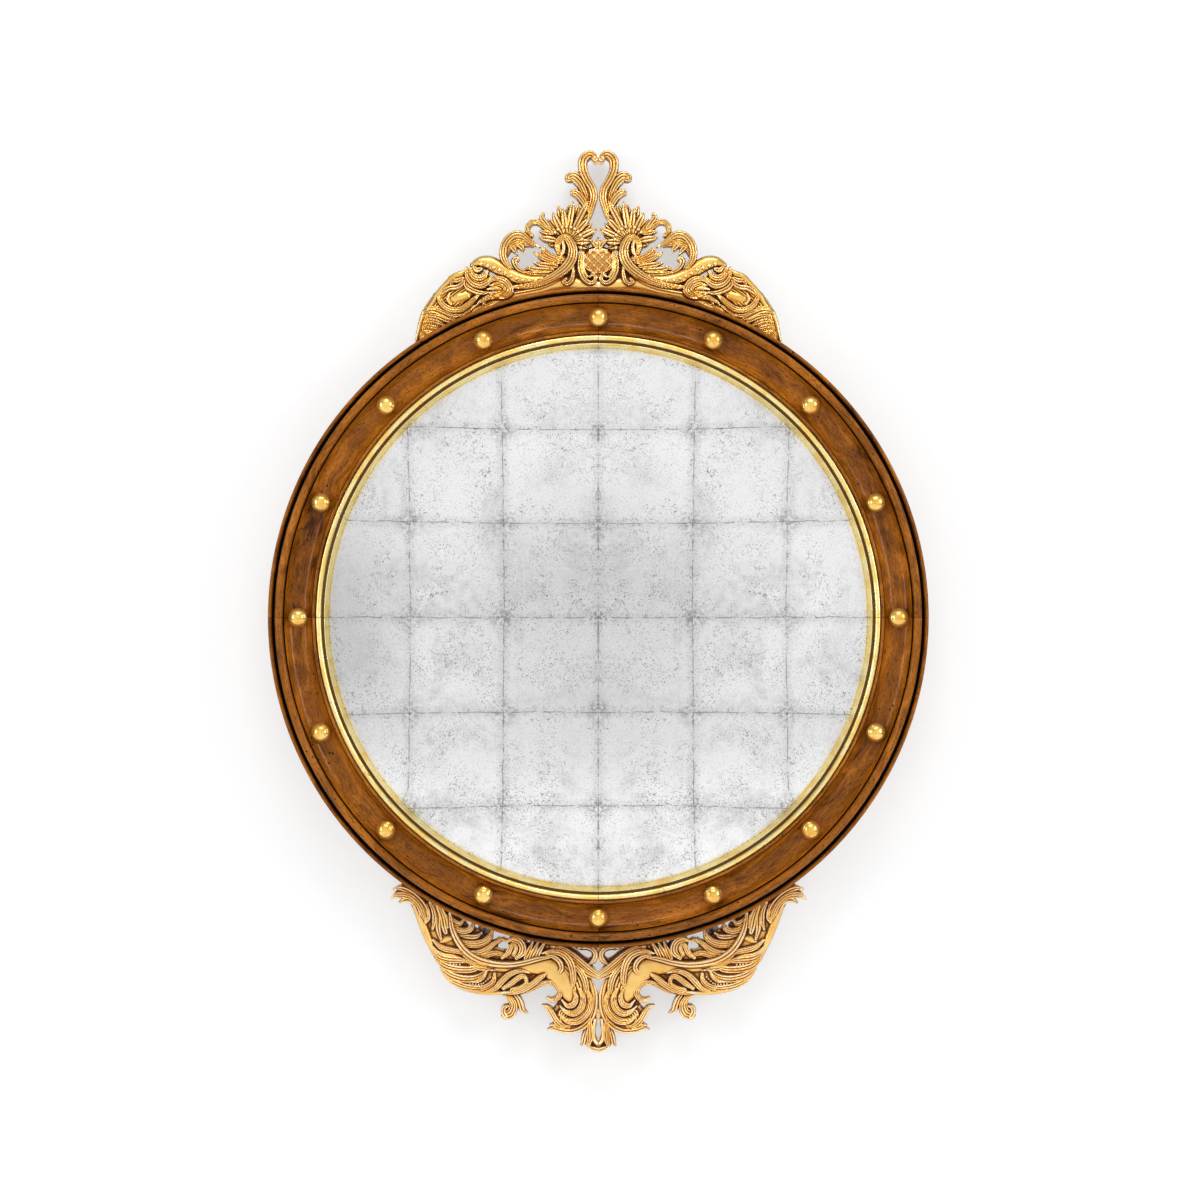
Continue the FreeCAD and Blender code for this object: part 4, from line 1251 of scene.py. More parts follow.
    def outline(self, cells: np.ndarray, number: np.ndarray) -> np.ndarray:
        """Edges of the carved area, each as (from, to) with the wood on its left."""
        padded = np.pad(cells, 1)
        wide, tall = cells.shape
        corners = ((0, 0), (1, 0), (1, 1), (0, 1))
        found = []
        for n, (off_i, off_j) in enumerate(((0, -1), (1, 0), (0, 1), (-1, 0))):
            other = padded[1 + off_i:1 + off_i + wide, 1 + off_j:1 + off_j + tall]
            i, j = np.nonzero(cells & ~other)
            ends = (corners[n], corners[(n + 1) % 4])
            found.append(np.stack([number[i + di, j + dj] for di, dj in ends], -1))
        return np.vstack(found)


def fan_rays(centre: Point2, tips: Sequence[Point2]) -> tuple[Stroke, ...]:
    """Rays of a fan that spread from a centre, every other one a step higher."""
    rays = []
    for n, tip in enumerate(tips):
        reach = math.dist(tip, centre)
        toward = ((tip[0] - centre[0]) / reach, (tip[1] - centre[1]) / reach)
        marks = ((8.0, 1.8), (0.5 * reach, 3.4), (0.78 * reach, 3.3), (0.92 * reach, 2.0), (reach, 0.5))
        spine = tuple((centre[0] + toward[0] * d, centre[1] + toward[1] * d, w) for d, w in marks)
        rays.append(Stroke(f"fan ray {n + 1}", 0.8 + 1.8 * (n % 2), spine, 2, lean=0.5))
    return tuple(rays)


CREST_GROUND = (
    (-2, 42), (8, 42), (17, 36), (26, 22), (40, 13), (62, 6), (95, 10), (121, 16), (137, 11), (151, 3),
    (161, -9), (171, -22), (178, -34), (182, -48), (178, -66), (140, -52), (100, -34), (50, -16), (-2, -12),
)

FAN_CENTRE = (31.5, 46.7)
FAN_TIPS = ((50.5, 70), (46, 77), (40.5, 84.5), (35.5, 80.5), (30, 84.5), (25.5, 88), (19, 86), (10, 88.5),
            (7, 77.5), (9, 71), (6.5, 66), (1.2, 60.5), (6, 53.5), (6.5, 47.5), (9, 41), (59.5, 51.5),
            (50.5, 44.5))

CREST_STROKES = (
    Stroke("base bed", 1.2, ((124, -24, 6), (95, -9.5, 7), (62, -1.5, 8), (36, 5, 8), (18, 3, 8),
        (0, 2, 7)), 1, Cut.ROUND),
    Stroke("end bed", 1.4, ((122, 6, 9), (138, 0, 13), (152, -11, 14), (165, -27, 13), (174, -44, 9)), 11),
    Stroke("heart scroll", 2, ((3, 128.5, 2), (4, 133, 3.4), (9, 135.3, 4.4), (15, 130.5, 4.9),
        (15.5, 121, 4.7), (11.5, 110.5, 4.5), (6, 101, 4.3), (4.6, 92, 4), (7, 82, 3.4), (9, 73, 2.4)), 3,
        lean=0.6),
    Stroke("heart bud", 3, ((3, 129.6, 3.1), (3.8, 130.8, 3.1)), 1, Cut.ROUND),
    Stroke("ear leaf", 1, ((29.2, 112, 4.8), (25.5, 113.3, 5.8), (19.5, 109.5, 6), (14, 100, 5),
        (10.5, 88, 3)), 4, lean=0.7),
    Stroke("small ear leaf", 2.2, ((25.4, 97, 3.4), (21.6, 95.6, 4), (16, 89.5, 3.9), (11, 80, 2.8)), 3,
        lean=0.5),
    Stroke("volute", 5, ((39.5, 35.5, 2.4), (41, 43, 3.3), (38.3, 49.5, 3.6), (33, 51.8, 3.8),
        (28.5, 47.5, 4.5), (25.6, 40, 5.2), (26.2, 31, 5.6), (31, 22.5, 5.6), (39, 15.5, 5), (49, 9.5, 4.4),
        (60, 5, 3.8), (72, 2.6, 3), (85, 1.6, 2)), 4, lean=0.8),
    Stroke("volute eye", 4, ((35.6, 47.4, 1.6), (34.6, 42, 1.9), (35.6, 36, 1.9), (38, 32, 1.2)), 1,
        Cut.ROUND),
    Stroke("hook leaf", 1.5, ((45, 57, 2.6), (53, 62, 3.3), (60, 67, 3), (66.5, 67.2, 2.9),
        (70.8, 62.5, 2.8), (70.6, 57, 2.6), (67, 53.8, 2.2)), 3, lean=0.5),
    Stroke("fan bud", 2, ((49, 61, 2.4), (53.5, 67, 2.8), (56.8, 72.3, 2.8), (55.5, 75.4, 1.8)), 2),
    Stroke("under hook", 1, ((46, 55.5, 2), (52, 56.5, 2.6), (58, 57.8, 1.6)), 2),
    Stroke("acanthus lobe 1", 4, ((35.5, 29.5, 2.6), (43.5, 31, 3.2), (50.5, 34.3, 3.4), (54.8, 38.8, 2.8),
        (54, 42.8, 0.8)), 3, lean=0.5),
    Stroke("acanthus lobe 2", 3.3, ((38, 26.5, 2.6), (47, 28, 3.2), (55, 31, 3.3), (61, 34.5, 2.4),
        (65, 36.8, 0.6)), 3, lean=0.5),
    Stroke("acanthus lobe 3", 2.6, ((42, 22.5, 2.6), (50, 23.3, 3), (58, 24.5, 2.8), (65, 26.3, 0.8)), 2,
        lean=0.5),
    Stroke("acanthus lobe 4", 2, ((46, 18.5, 2.6), (55, 18.7, 3), (64, 19.5, 2.9), (70, 20.8, 2.2),
        (74.5, 19.2, 0.8)), 2, lean=0.5),
    Stroke("acanthus lobe 5", 1.4, ((50, 15, 2.2), (60, 15, 2.4), (70, 16, 2), (75, 17.5, 0.8)), 2),
    Stroke("studded band", 3.2, ((126, 24, 3.2), (119, 27, 5.4), (110, 26.5, 7), (101, 22, 7.1),
        (92, 16.8, 6.6), (84, 12.8, 6.2), (75, 10, 5.8), (64, 9, 5.2), (53, 11, 4.4), (44, 16, 3.4)), 1,
        Cut.ROUND, lean=0.8),
    Stroke("side curl", 4.5, ((89, 21, 2.6), (94.8, 30, 3.8), (95.3, 40, 4.2), (91.3, 49, 4.3),
        (84.3, 54.3, 4.2), (77.3, 54.3, 3.8), (71, 49.8, 3.2), (65, 44.8, 2.6), (58.5, 42.3, 0.7)), 3,
        lean=0.7),
    Stroke("side curl bed", 3.2, ((93, 36, 3.6), (89.5, 44.5, 6.4), (82.5, 48.5, 7.6), (74.5, 48, 6),
        (66.5, 45, 3)), 7),
    Stroke("side curl lobe 1", 3.4, ((81, 46, 2.6), (77, 41.5, 3), (73.5, 36.6, 0.9)), 2, lean=0.5),
    Stroke("side curl lobe 2", 3.2, ((88, 43.5, 2.6), (84.6, 39.4, 2.9), (81.4, 34.8, 0.9)), 2, lean=0.5),
    Stroke("knob curl", 2.4, ((74, 16.5, 1.8), (79.5, 19.5, 2.5), (83.6, 24.5, 2.9), (84.4, 28.6, 3.3),
        (81.8, 30.3, 2.9)), 2, lean=0.5),
    Stroke("shell swirl", 4, ((132.5, 21, 1.6), (131, 12.5, 3.2), (126, 6, 3.8), (118.5, 3.5, 4),
        (111.5, 6.5, 3.6), (107, 12, 2)), 3, lean=0.7),
    Stroke("shell swirl inner", 4.6, ((128, 20.5, 1.6), (126.5, 14.5, 3.1), (121.5, 11, 3.7),
        (115, 12, 3.3), (111.5, 17, 2)), 3, lean=0.6),
    Stroke("shell head", 4.6, ((125, 21.5, 1.8), (121.8, 18.5, 3), (117.5, 19.5, 2.2)), 2),
    Stroke("spiral", 5, ((109, 7, 1.6), (102, 10, 2.9), (94.5, 8, 3.5), (89, 2, 3.6), (88.5, -4, 3.5),
        (94, -8, 3.1), (103, -8, 2.9), (112, -9.5, 2.7), (118, -13, 1.8)), 3, lean=0.7),
    Stroke("spiral inner", 4.8, ((109, 3, 1), (101.5, 4.6, 2.6), (95.5, 3.2, 3.1), (92.8, -1, 2.9),
        (96.3, -4.4, 2.5), (103, -4.6, 2.2), (111, -4, 1)), 3, lean=0.5),
    Stroke("spiral core", 4.4, ((112, -0.8, 0.8), (104.5, 0.3, 2.4), (98.5, -0.6, 2.1), (96, -1.4, 1.2)), 1,
        Cut.ROUND),
    Stroke("shell hem", 3, ((134.5, 9.5, 2), (132, 2.5, 3), (125, -2, 3.1), (117.5, -4.2, 2.6),
        (110, -3.6, 1.5)), 2, lean=0.5),
    Stroke("bowl swell", 2, ((147, -11, 4.6), (140, -9, 5.8), (132.5, -6.5, 5)), 1, Cut.ROUND),
    Stroke("bowl rim", 4, ((158.3, -3, 1.6), (159.3, -10, 2.7), (155, -17, 3.2), (147, -21.2, 3.3),
        (138, -20.6, 3.3), (130, -15.5, 3.1), (124, -10, 2.6), (120.3, -6.5, 1.6)), 3, lean=0.7),
    Stroke("bowl crescent", 3, ((149.5, -4.5, 1.2), (151, -10, 2), (148, -15.3, 1.8)), 1, Cut.ROUND),
    Stroke("bowl leaf", 3.6, ((158.5, -7.5, 1.2), (155, -2.3, 2.7), (149, 0.7, 3), (142, 1.7, 2.8),
        (136.5, 5, 2.6), (134, 10.5, 1.6)), 2, lean=0.5),
    Stroke("outer leaf", 3, ((133, 18, 2), (139, 14, 3.8), (146, 11, 3.6), (151.5, 5.5, 3.2),
        (157, -0.5, 3.3), (162.3, -7.5, 3.1), (166, -14.2, 2.8), (171, -20, 2)), 1, Cut.ROUND, lean=0.8),
    Stroke("outer curl", 3.4, ((136, 10.5, 2), (140.5, 8.2, 2.6), (145.5, 8, 2.3), (148, 4.8, 1.6)), 2),
    Stroke("wave leaf 1", 2.8, ((172, -20.5, 1.6), (163, -19.5, 2.7), (154.5, -22.4, 3.1),
        (145.5, -26, 3.2), (136, -25.2, 2.8), (129, -20.5, 2.2), (123, -16.5, 1.2)), 3, lean=0.6),
    Stroke("wave leaf 2", 2.4, ((176.8, -25, 1.6), (171.5, -22.6, 2.4), (164, -22.6, 2.8),
        (157, -25.5, 2.8), (149, -29.5, 2.6), (141, -32, 1.4)), 2, lean=0.5),
    Stroke("wave leaf 3", 2.1, ((175, -27.3, 0.8), (168, -27, 2.2), (160, -28.6, 2.6), (152.5, -32, 2.2),
        (147, -34.5, 1.2)), 2),
    Stroke("wave leaf 4", 1.8, ((176, -33, 1), (168.5, -32, 2.3), (160.5, -34, 2.5), (153, -37.5, 1.3)), 2),
    Stroke("wave leaf 5", 1.6, ((178, -39.5, 1), (171.5, -37.6, 2.2), (164, -39, 2.3), (158, -41, 1.1)), 2),
    Stroke("wave leaf 6", 1.4, ((180, -46, 1.1), (175, -43.6, 2.2), (169, -44, 2.2), (163, -45.5, 1)), 2),
    Stroke("end border", 2, ((176.5, -24, 1.4), (178.8, -33, 1.9), (180.5, -42, 1.9), (183, -52, 1.2)), 1,
        Cut.ROUND),
    Stroke("rim curl", 2.6, ((122, -16.5, 1), (118.2, -12.2, 1.9), (114.3, -11.8, 1.9), (115, -15.6, 1.5)),
        1, Cut.ROUND),
    Stroke("rim leaf", 1.4, ((100, -13, 1.2), (108, -15.5, 2), (117, -19.5, 2), (126, -25.5, 1.8),
        (136, -30, 1.2)), 2),
    Stroke("small scroll", 3.5, ((25, 22, 1.4), (25.3, 14, 2.3), (27.6, 7, 2.4), (31.6, 4.6, 2.3),
        (34.6, 7.3, 2.2), (32.4, 9.8, 1.7)), 2, lean=0.4),
    Stroke("hook scroll", 4, ((16.5, 37, 1.6), (18.6, 28, 2.3), (18, 18, 2.6), (14, 9.7, 2.7),
        (8.6, 5.8, 2.6), (4, 7.2, 2.3), (2.8, 11.6, 2.3), (5.6, 14.4, 2), (8.2, 12, 1.4)), 2, lean=0.6),
    Stroke("hook scroll inner", 3.4, ((14.6, 36, 1), (15.4, 28, 1.7), (14.6, 18.5, 1.8), (11, 12, 1.5)), 1,
        Cut.ROUND),
    Stroke("base reed 1", 1.8, ((92, -6, 1.3), (73, -2.6, 1.5), (58, 0.6, 1.5), (46, 5.4, 1.5),
        (36, 12, 1.3)), 1, Cut.ROUND),
    Stroke("base reed 2", 1.2, ((86, -7.6, 1.2), (72, -5.2, 1.4), (57, -2.4, 1.4), (45, 2, 1.4),
        (36, 8, 1.1)), 1, Cut.ROUND),
    Stroke("leaf knot side", 4.2, ((8, 48.5, 1), (5, 46.5, 2.6), (2, 42, 2.2)), 2),
    Stroke("leaf knot", 4.8, ((0, 50, 1.6), (0, 46, 2.8), (0, 41, 2)), 2),
    Stroke("leaf knot foot", 4, ((9, 38.5, 1), (5, 38.6, 2.2), (0.5, 37.5, 2.2)), 1, Cut.ROUND),
)

APRON_GROUND = (
    (-2, -14), (30, -12), (60, -9), (84, -2), (100, -3), (108, -6), (121, -16), (137, -26), (152, -42),
    (178, -78), (200, -68), (193, -52), (184, -42), (177, -24), (171, -8), (167, 2), (161, 15), (152, 29),
    (140, 39), (127, 44.5), (110, 46.5), (98, 47), (80, 47), (66, 42.5), (54, 38), (46, 39), (39, 45),
    (40, 56), (46, 64), (42, 76), (34, 83), (20, 84), (11, 81), (12, 92), (13, 99), (-2, 105),
)

APRON_PIERCINGS = (
    ((-1, 14.8), (0, 14.8), (6.5, 19.8), (0, 27.3), (-1, 27.3)),
    ((8.4, 31.2), (3, 33), (0, 34.5), (-1, 34.5), (-1, 48), (0.6, 48), (3.6, 40)),
    ((0, 69), (2.6, 84), (2.8, 90), (1.4, 93.6), (0, 94.4), (-1, 94.4), (-1, 69)),
    ((0, 97.8), (1.8, 98.8), (0, 102), (-1, 102), (-1, 97.8)),
    ((33, -0.5), (27, 2.4), (20, 6.6), (14, 11), (10.5, 13), (7.4, 12), (6.2, 9), (7.4, 6.2), (12, 4.2),
     (17, 4.5), (22, 3.4), (28, -0.6)),
    ((90, -1), (92, -3), (97, -3.5), (100.5, -1.5), (101, 2.5), (97, 4), (91, 3.5)),
    ((121.5, -26), (120.5, -20), (118.6, -14.8), (114.5, -12.2), (110.4, -13.6), (108.6, -18), (108.6, -26)),
    ((103.4, -20), (102.6, -10.5), (99.6, -9), (98.4, -12), (98.4, -20)),
    ((149, -38), (146.4, -31.2), (141.5, -28.4), (138, -29.8), (136.4, -38)),
    ((133.6, -32), (132.6, -22.6), (130, -19), (127.6, -21.2), (126.8, -32)),
    ((73.5, -12), (71.8, -3.4), (69.4, -2), (67.6, -5), (67, -12)),
)

APRON_STROKES = (
    Stroke("wing bed", 0.4, ((176, -46, 9), (164, -24, 15), (153, -2, 17), (138, 17, 18), (117, 28, 17),
        (95, 34, 12)), 1, Cut.ROUND),
    Stroke("rim bed", 1.6, ((146, -24, 5), (134, -9, 7), (114, 3, 8), (96, 7, 7), (78, 9, 5)), 1,
        Cut.ROUND),
    Stroke("tail bed", 2.4, ((40, 12, 8), (24, 26, 14), (16, 46, 15), (18, 66, 16), (30, 72, 12)), 9),
    Stroke("wing border", 2.6, ((188, -44.5, 1.8), (182.5, -37, 3.6), (177, -23, 4), (172, -10, 3.8),
        (167, 2, 3), (161, 14, 2.2)), 1, Cut.ROUND, lean=0.6),
    Stroke("corner leaf top", 4, ((206, -57, 1), (198, -58, 2.8), (189.5, -54.6, 3.2), (181.5, -48.6, 3.2),
        (174.5, -40, 3), (170.5, -30, 2)), 2, lean=0.5),
    Stroke("corner leaf middle", 4.5, ((209, -46.8, 0.8), (203.5, -51, 3), (195.5, -51.4, 3.5),
        (187.5, -48.8, 3.5), (180.5, -42, 3.4), (176, -32.5, 3), (172.5, -24.5, 1.6)), 3, lean=0.5),
    Stroke("corner leaf low", 3.4, ((199.5, -43.8, 1.4), (194.5, -46.4, 2.6), (188.5, -46, 2.8),
        (183.3, -40.5, 2.4), (179.6, -31, 1.8)), 2),
    Stroke("drape 1", 3.2, ((173, -42, 1.8), (170.6, -34, 2.3), (170.6, -28, 2.2), (173, -24.2, 1.8)), 2),
    Stroke("drape 2", 3.8, ((169, -44, 1.8), (165.3, -35, 2.5), (164.6, -25, 2.5), (166.4, -17, 1.4)), 2,
        lean=0.4),
    Stroke("drape 3", 3.4, ((164.5, -42, 2), (161, -31, 3), (160.7, -18, 3), (158.3, -7.6, 1.8)), 2,
        lean=0.4),
    Stroke("drape 4", 4, ((160.5, -40, 2), (156.6, -29, 2.9), (155, -20, 3.1), (153.3, -14.2, 2.6)), 2,
        lean=0.4),
    Stroke("drape 5", 3.4, ((156.5, -38, 1.4), (152.6, -29, 1.9), (151.2, -19, 1.5)), 1, Cut.ROUND),
    Stroke("plain panel", 1.4, ((158, -4, 3), (153, -6.5, 4.4), (148, -8, 3)), 1, Cut.ROUND),
    Stroke("midrib", 5, ((149, -33, 1.8), (146.6, -18, 2.9), (141, -5, 3.4), (132, 6, 3.6),
        (120, 13.5, 3.7), (105, 17.5, 3.6), (90, 18.5, 3.3), (75, 16.5, 3), (62, 13, 2.8), (50, 11, 1.8)),
        2, lean=0.5),
    Stroke("rim lobe 1", 3.4, ((149, -29.5, 1.8), (144.5, -24.8, 3.2), (139.3, -22.6, 3.2),
        (135, -26.2, 1.2)), 3, lean=0.5),
    Stroke("rim lobe 2", 4, ((146.5, -20.5, 2.2), (140.3, -16.4, 3.3), (133.3, -15.5, 3.5),
        (127.6, -18, 3.2), (125, -23.8, 1.2)), 3, lean=0.5),
    Stroke("rim lobe 3", 3.6, ((142, -6.5, 2), (134, -3, 3.6), (124.5, -1.8, 4.4), (115, -3.8, 4.4),
        (109, -9, 3.6), (107, -15.5, 1.2)), 4, lean=0.6),
    Stroke("comb", 3, ((139, -11, 1.4), (131, -9.6, 2.6), (122, -10, 2.6), (117, -13, 1.2)), 2),
    Stroke("rim lobe 4", 4.2, ((130, 5.5, 1.6), (120, 6.3, 3), (111, 2.6, 3.3), (104.5, -2.8, 2.7),
        (97.5, -6.2, 2.3), (91, -4.6, 1.4)), 3, lean=0.5),
    Stroke("rim lobe 5", 3.8, ((124, 10, 1.6), (114, 9.6, 3), (105, 7, 3.2), (97, 8, 2.7), (92, 11, 1.4)),
        3, lean=0.5),
    Stroke("shell", 5, ((92, -4, 1.2), (86.3, -6.8, 2.8), (79.6, -5.6, 4), (76, 0, 4.3), (76.6, 6.2, 4.1),
        (82, 11.6, 2.4)), 3, lean=0.7),
    Stroke("shell inner", 4.8, ((96.5, 11.5, 1.8), (90.6, 6.6, 3.1), (87.6, 0.6, 3), (84.6, -2.6, 2.1),
        (82.4, 1.6, 2.3), (85, 8.2, 2.4)), 3, lean=0.5),
    Stroke("shell strip 1", 4, ((73, 12, 2.4), (69.5, 4, 3), (65.8, -4, 1.4)), 2, lean=0.5),
    Stroke("shell strip 2", 3.6, ((68, 12, 2.4), (64, 4, 3), (60.4, -3.8, 1.4)), 2, lean=0.5),
    Stroke("shell strip 3", 3.2, ((62, 11.5, 2.4), (58.4, 4, 2.8), (54.8, -2, 1.8)), 2, lean=0.5),
    Stroke("trunk", 3, ((113, 22, 2), (98, 22.5, 4), (82, 21.5, 5.5), (66, 21, 7.2), (52, 21.5, 9.2),
        (42, 28, 10.5), (34, 38, 10.5), (28.5, 48, 8.5), (25, 57, 5)), 1, Cut.ROUND),
    Stroke("beaded lip", 3.2, ((168, -1, 1.4), (162, 5.5, 2.2), (155, 8.6, 2.1), (147, 9.4, 1.9),
        (139, 11.5, 1.3)), 1, Cut.ROUND),
    Stroke("feather 0", 3.8, ((166, -6, 1.6), (158, 1, 2.9), (149, 3.8, 3.3), (140, 5.6, 2.7),
        (132, 9.4, 1.2)), 3, lean=0.6),
    Stroke("vane 1", 4, ((135, 9.6, 1.3), (126, 15.4, 2.7), (116, 18.6, 2.8), (106, 20.6, 1.4)), 3,
        lean=0.5),
    Stroke("vane 2", 3.6, ((131, 16, 1.1), (122, 21.6, 2.3), (113, 23, 2.1), (104, 24.4, 1)), 2, lean=0.5),
    Stroke("feather 1", 4, ((166, 4.5, 1.6), (159, 11, 3.7), (150, 13.4, 4.1), (140, 14, 3.7),
        (130, 15.8, 1.8)), 3, lean=0.7),
    Stroke("feather 2", 3.8, ((163, 13, 2), (155, 19.4, 4), (146, 22.6, 4.3), (136, 23.6, 4.2),
        (126, 23, 3.8), (118, 20, 2.4)), 3, lean=0.8),
    Stroke("feather 3", 4, ((157, 22.4, 2), (149, 28.6, 4.1), (139, 32.2, 4.3), (129, 33, 4.2),
        (120, 31, 3.7), (113, 26, 2.6), (110.5, 21.5, 1.2)), 3, lean=0.8),
    Stroke("feather 4", 3.8, ((152, 31.4, 1.6), (144, 36.8, 3.5), (134, 40.6, 3.8), (123, 42.3, 3.6),
        (113, 41, 3.3), (105.5, 35.5, 3.1), (104, 27.6, 1.8)), 3, lean=0.7),
    Stroke("feather barb", 4.4, ((127, 35.5, 1), (120.5, 34.6, 2.2), (115, 30.4, 2.2), (112.4, 25, 1.2)),
        3),
    Stroke("wing hem", 2.2, ((158, 23, 1.2), (150.5, 32.8, 2.1), (141.5, 39.4, 2.4), (130, 43.8, 2.4),
        (118, 46.2, 2.3), (105, 47, 2.2), (94, 47.2, 2)), 1, Cut.ROUND),
    Stroke("under leaf 1", 4.5, ((112, 45.2, 1.4), (103, 42, 3), (97, 35.4, 3.4), (90, 29, 3.2),
        (82, 25.4, 2.7), (75, 25.2, 2), (69, 27, 0.8)), 3, lean=0.6),
    Stroke("under leaf 2", 4.6, ((95, 42, 2.2), (88, 37.6, 3), (82, 33, 3), (76.3, 30, 2.8),
        (72.7, 32.4, 2.3), (72.6, 37.4, 2.3), (78.4, 41.2, 2.2), (87, 43.4, 2)), 3, lean=0.6),
    Stroke("under leaf 3", 5, ((98, 46.6, 1.4), (86, 46.4, 2.6), (76, 43.8, 3), (67, 38.5, 3.2),
        (60, 33, 3.1), (54, 28.7, 2), (51, 26.5, 0.7)), 3, lean=0.6),
    Stroke("lower edge", 3, ((81, 48, 1.2), (70, 45.2, 2.2), (62, 40.8, 2.5), (54, 37, 2.7),
        (47.5, 37, 2.8), (41.5, 40.3, 3), (38.4, 46.3, 3), (40.6, 52, 2.8), (46.4, 54.6, 2.4),
        (51, 52.3, 1.4)), 3, lean=0.6),
    Stroke("drop bud", 3, ((94, 47.5, 2.4), (88.4, 53, 3.8), (85.2, 60, 4.6), (88, 67.4, 5.7),
        (92.6, 69.2, 5.2)), 4, lean=0.6),
    Stroke("drop bud curl", 3.4, ((90.4, 60.2, 1.3), (94.4, 61.6, 2.4), (95.4, 66.2, 2.8), (93, 70.5, 2.6)),
        2),
    Stroke("drop leaf", 2.4, ((84.4, 47.6, 2.2), (80.4, 53, 3), (77.9, 59, 3.4), (76, 64.6, 3),
        (71.5, 67.6, 1.1)), 2, lean=0.7),
    Stroke("leaf curl", 4.6, ((52, 9.4, 1.4), (44, 11, 2.4), (38.6, 16, 2.7), (37, 22.4, 2.5),
        (40, 26.3, 2), (43.6, 25.4, 1)), 2, lean=0.5),
    Stroke("swirl leaf 1", 4.8, ((57.5, 7.5, 0.8), (48, 5.6, 3), (40, 6, 3.8), (33, 9.6, 4.2),
        (28, 17, 4.2), (25.6, 26, 3.8), (25.2, 35, 3.2), (27.5, 43.5, 1.2)), 3, lean=0.7),
    Stroke("swirl leaf 2", 4.2, ((29, 13.5, 2), (22, 20.6, 3.2), (16.3, 28, 3.6), (12.8, 37, 3.5),
        (12.6, 45, 3), (16.4, 49.4, 1.5)), 3, lean=0.6),
    Stroke("crown leaf", 3.8, ((47, 0.5, 1.4), (36, 2.6, 3.1), (27, 8.2, 3.6), (18, 15.6, 3.8),
        (9, 23.2, 3.6), (0, 29.4, 3.1)), 3, lean=0.5),
    Stroke("crown leaf low", 3.4, ((26, 15, 1.4), (18.5, 22.4, 2.6), (11, 28.2, 2.8), (4, 31.4, 2.2),
        (0, 32.2, 1.6)), 2),
    Stroke("seam sweep", 3, ((10.4, 29.4, 1.4), (6.8, 36, 2.7), (4, 45, 3.1), (3.2, 55, 3), (4.8, 66, 3.2),
        (9.8, 76, 3.2), (18, 82.6, 3.2), (28, 85.6, 2.8), (38, 84.6, 2.5), (45, 82.6, 2), (51, 84, 0.7)), 2,
        lean=0.5),
    Stroke("great sweep", 4.6, ((12.5, 42, 2), (8.8, 52, 3.4), (9.3, 62, 3.9), (14.3, 70, 4.1),
        (22.3, 75, 4.1), (31, 74.6, 3.2), (39.5, 68.5, 0.9)), 4, lean=0.8),
    Stroke("inner sweep", 5.2, ((18.6, 43, 1.8), (15.4, 52, 3.3), (17.4, 61.6, 3.9), (24, 67, 3.6),
        (31.6, 66, 2.6), (38.6, 60, 0.9)), 4, lean=0.7),
    Stroke("core sweep", 5.1, ((24.6, 44, 1.4), (22.4, 51.5, 2.8), (25, 58.2, 3.2), (31, 59.6, 2.4),
        (37, 53.6, 0.8)), 3, lean=0.6),
    Stroke("side leaf 1", 2.6, ((56, 60, 1.1), (51, 61.8, 2.7), (47, 67, 3.3), (43, 74, 3.5),
        (37, 79.8, 3.3), (30, 81.6, 2.2)), 3, lean=0.6),
    Stroke("side leaf 2", 2, ((49, 80, 0.8), (44.6, 79.4, 1.8), (40, 81.6, 2), (34, 82.6, 1.4)), 2),
    Stroke("bud petal", 3, ((12, 83.5, 1.6), (14, 90.5, 2.7), (15.4, 96.8, 2.6), (17.2, 100, 1.1)), 2,
        lean=0.5),
    Stroke("bud side", 4, ((8.4, 74, 2.4), (8.6, 84, 3.4), (8.6, 93, 3.5), (10.4, 99.6, 2.4)), 3, lean=0.6),
    Stroke("bud heart", 3.6, ((3.4, 74, 1.6), (4.6, 85, 1.9), (4.4, 93, 2), (1.6, 97.6, 1.8)), 1,
        Cut.ROUND),
    Stroke("bud foot", 3.2, ((9.4, 101, 1.5), (5, 103, 2.5), (0, 104.4, 2.6)), 2),
    Stroke("top scroll", 3.2, ((20.8, 2.4, 1.2), (14, 1, 2.1), (7.6, 2, 2.6), (3.4, 6, 2.8), (3.4, 12, 2.6),
        (7, 16.4, 2), (11, 19, 1)), 2, lean=0.5),
)


# -------------------------------------------------------------- the mirror


@dataclass
class Piece:
    """A finished piece: what it is called, which nodes it stands for, and its slot."""

    made: Object
    stands_for: tuple[str, ...]
    slot: str
    body: str = BODY

    def settle(self) -> None:
        """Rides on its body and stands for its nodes."""
        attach(self.made, self.body)
        if self.stands_for:
            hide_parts(*self.stands_for)
        triangles = sum(len(p.vertices) - 2 for p in self.made.data.polygons)
        LOG.info("%s: %d triangles on %s", self.made.name, triangles, self.body)


def dressed(name: str, mesh: Mesh, *finishes: Finish) -> Object:
    """Object of a mesh with its finishes."""
    made = new_object(name, mesh)
    for finish in finishes:
        mesh.materials.append(finish.material())
    return made


def unrolled(parts: Sequence[tuple[list[Point2], float]]) -> tuple[list[Point2], list[float]]:
    """Points of a section that is given in runs, and how black each point is."""
    points = [p for run, _ in parts for p in run]
    return points, [shade for run, shade in parts for _ in run]


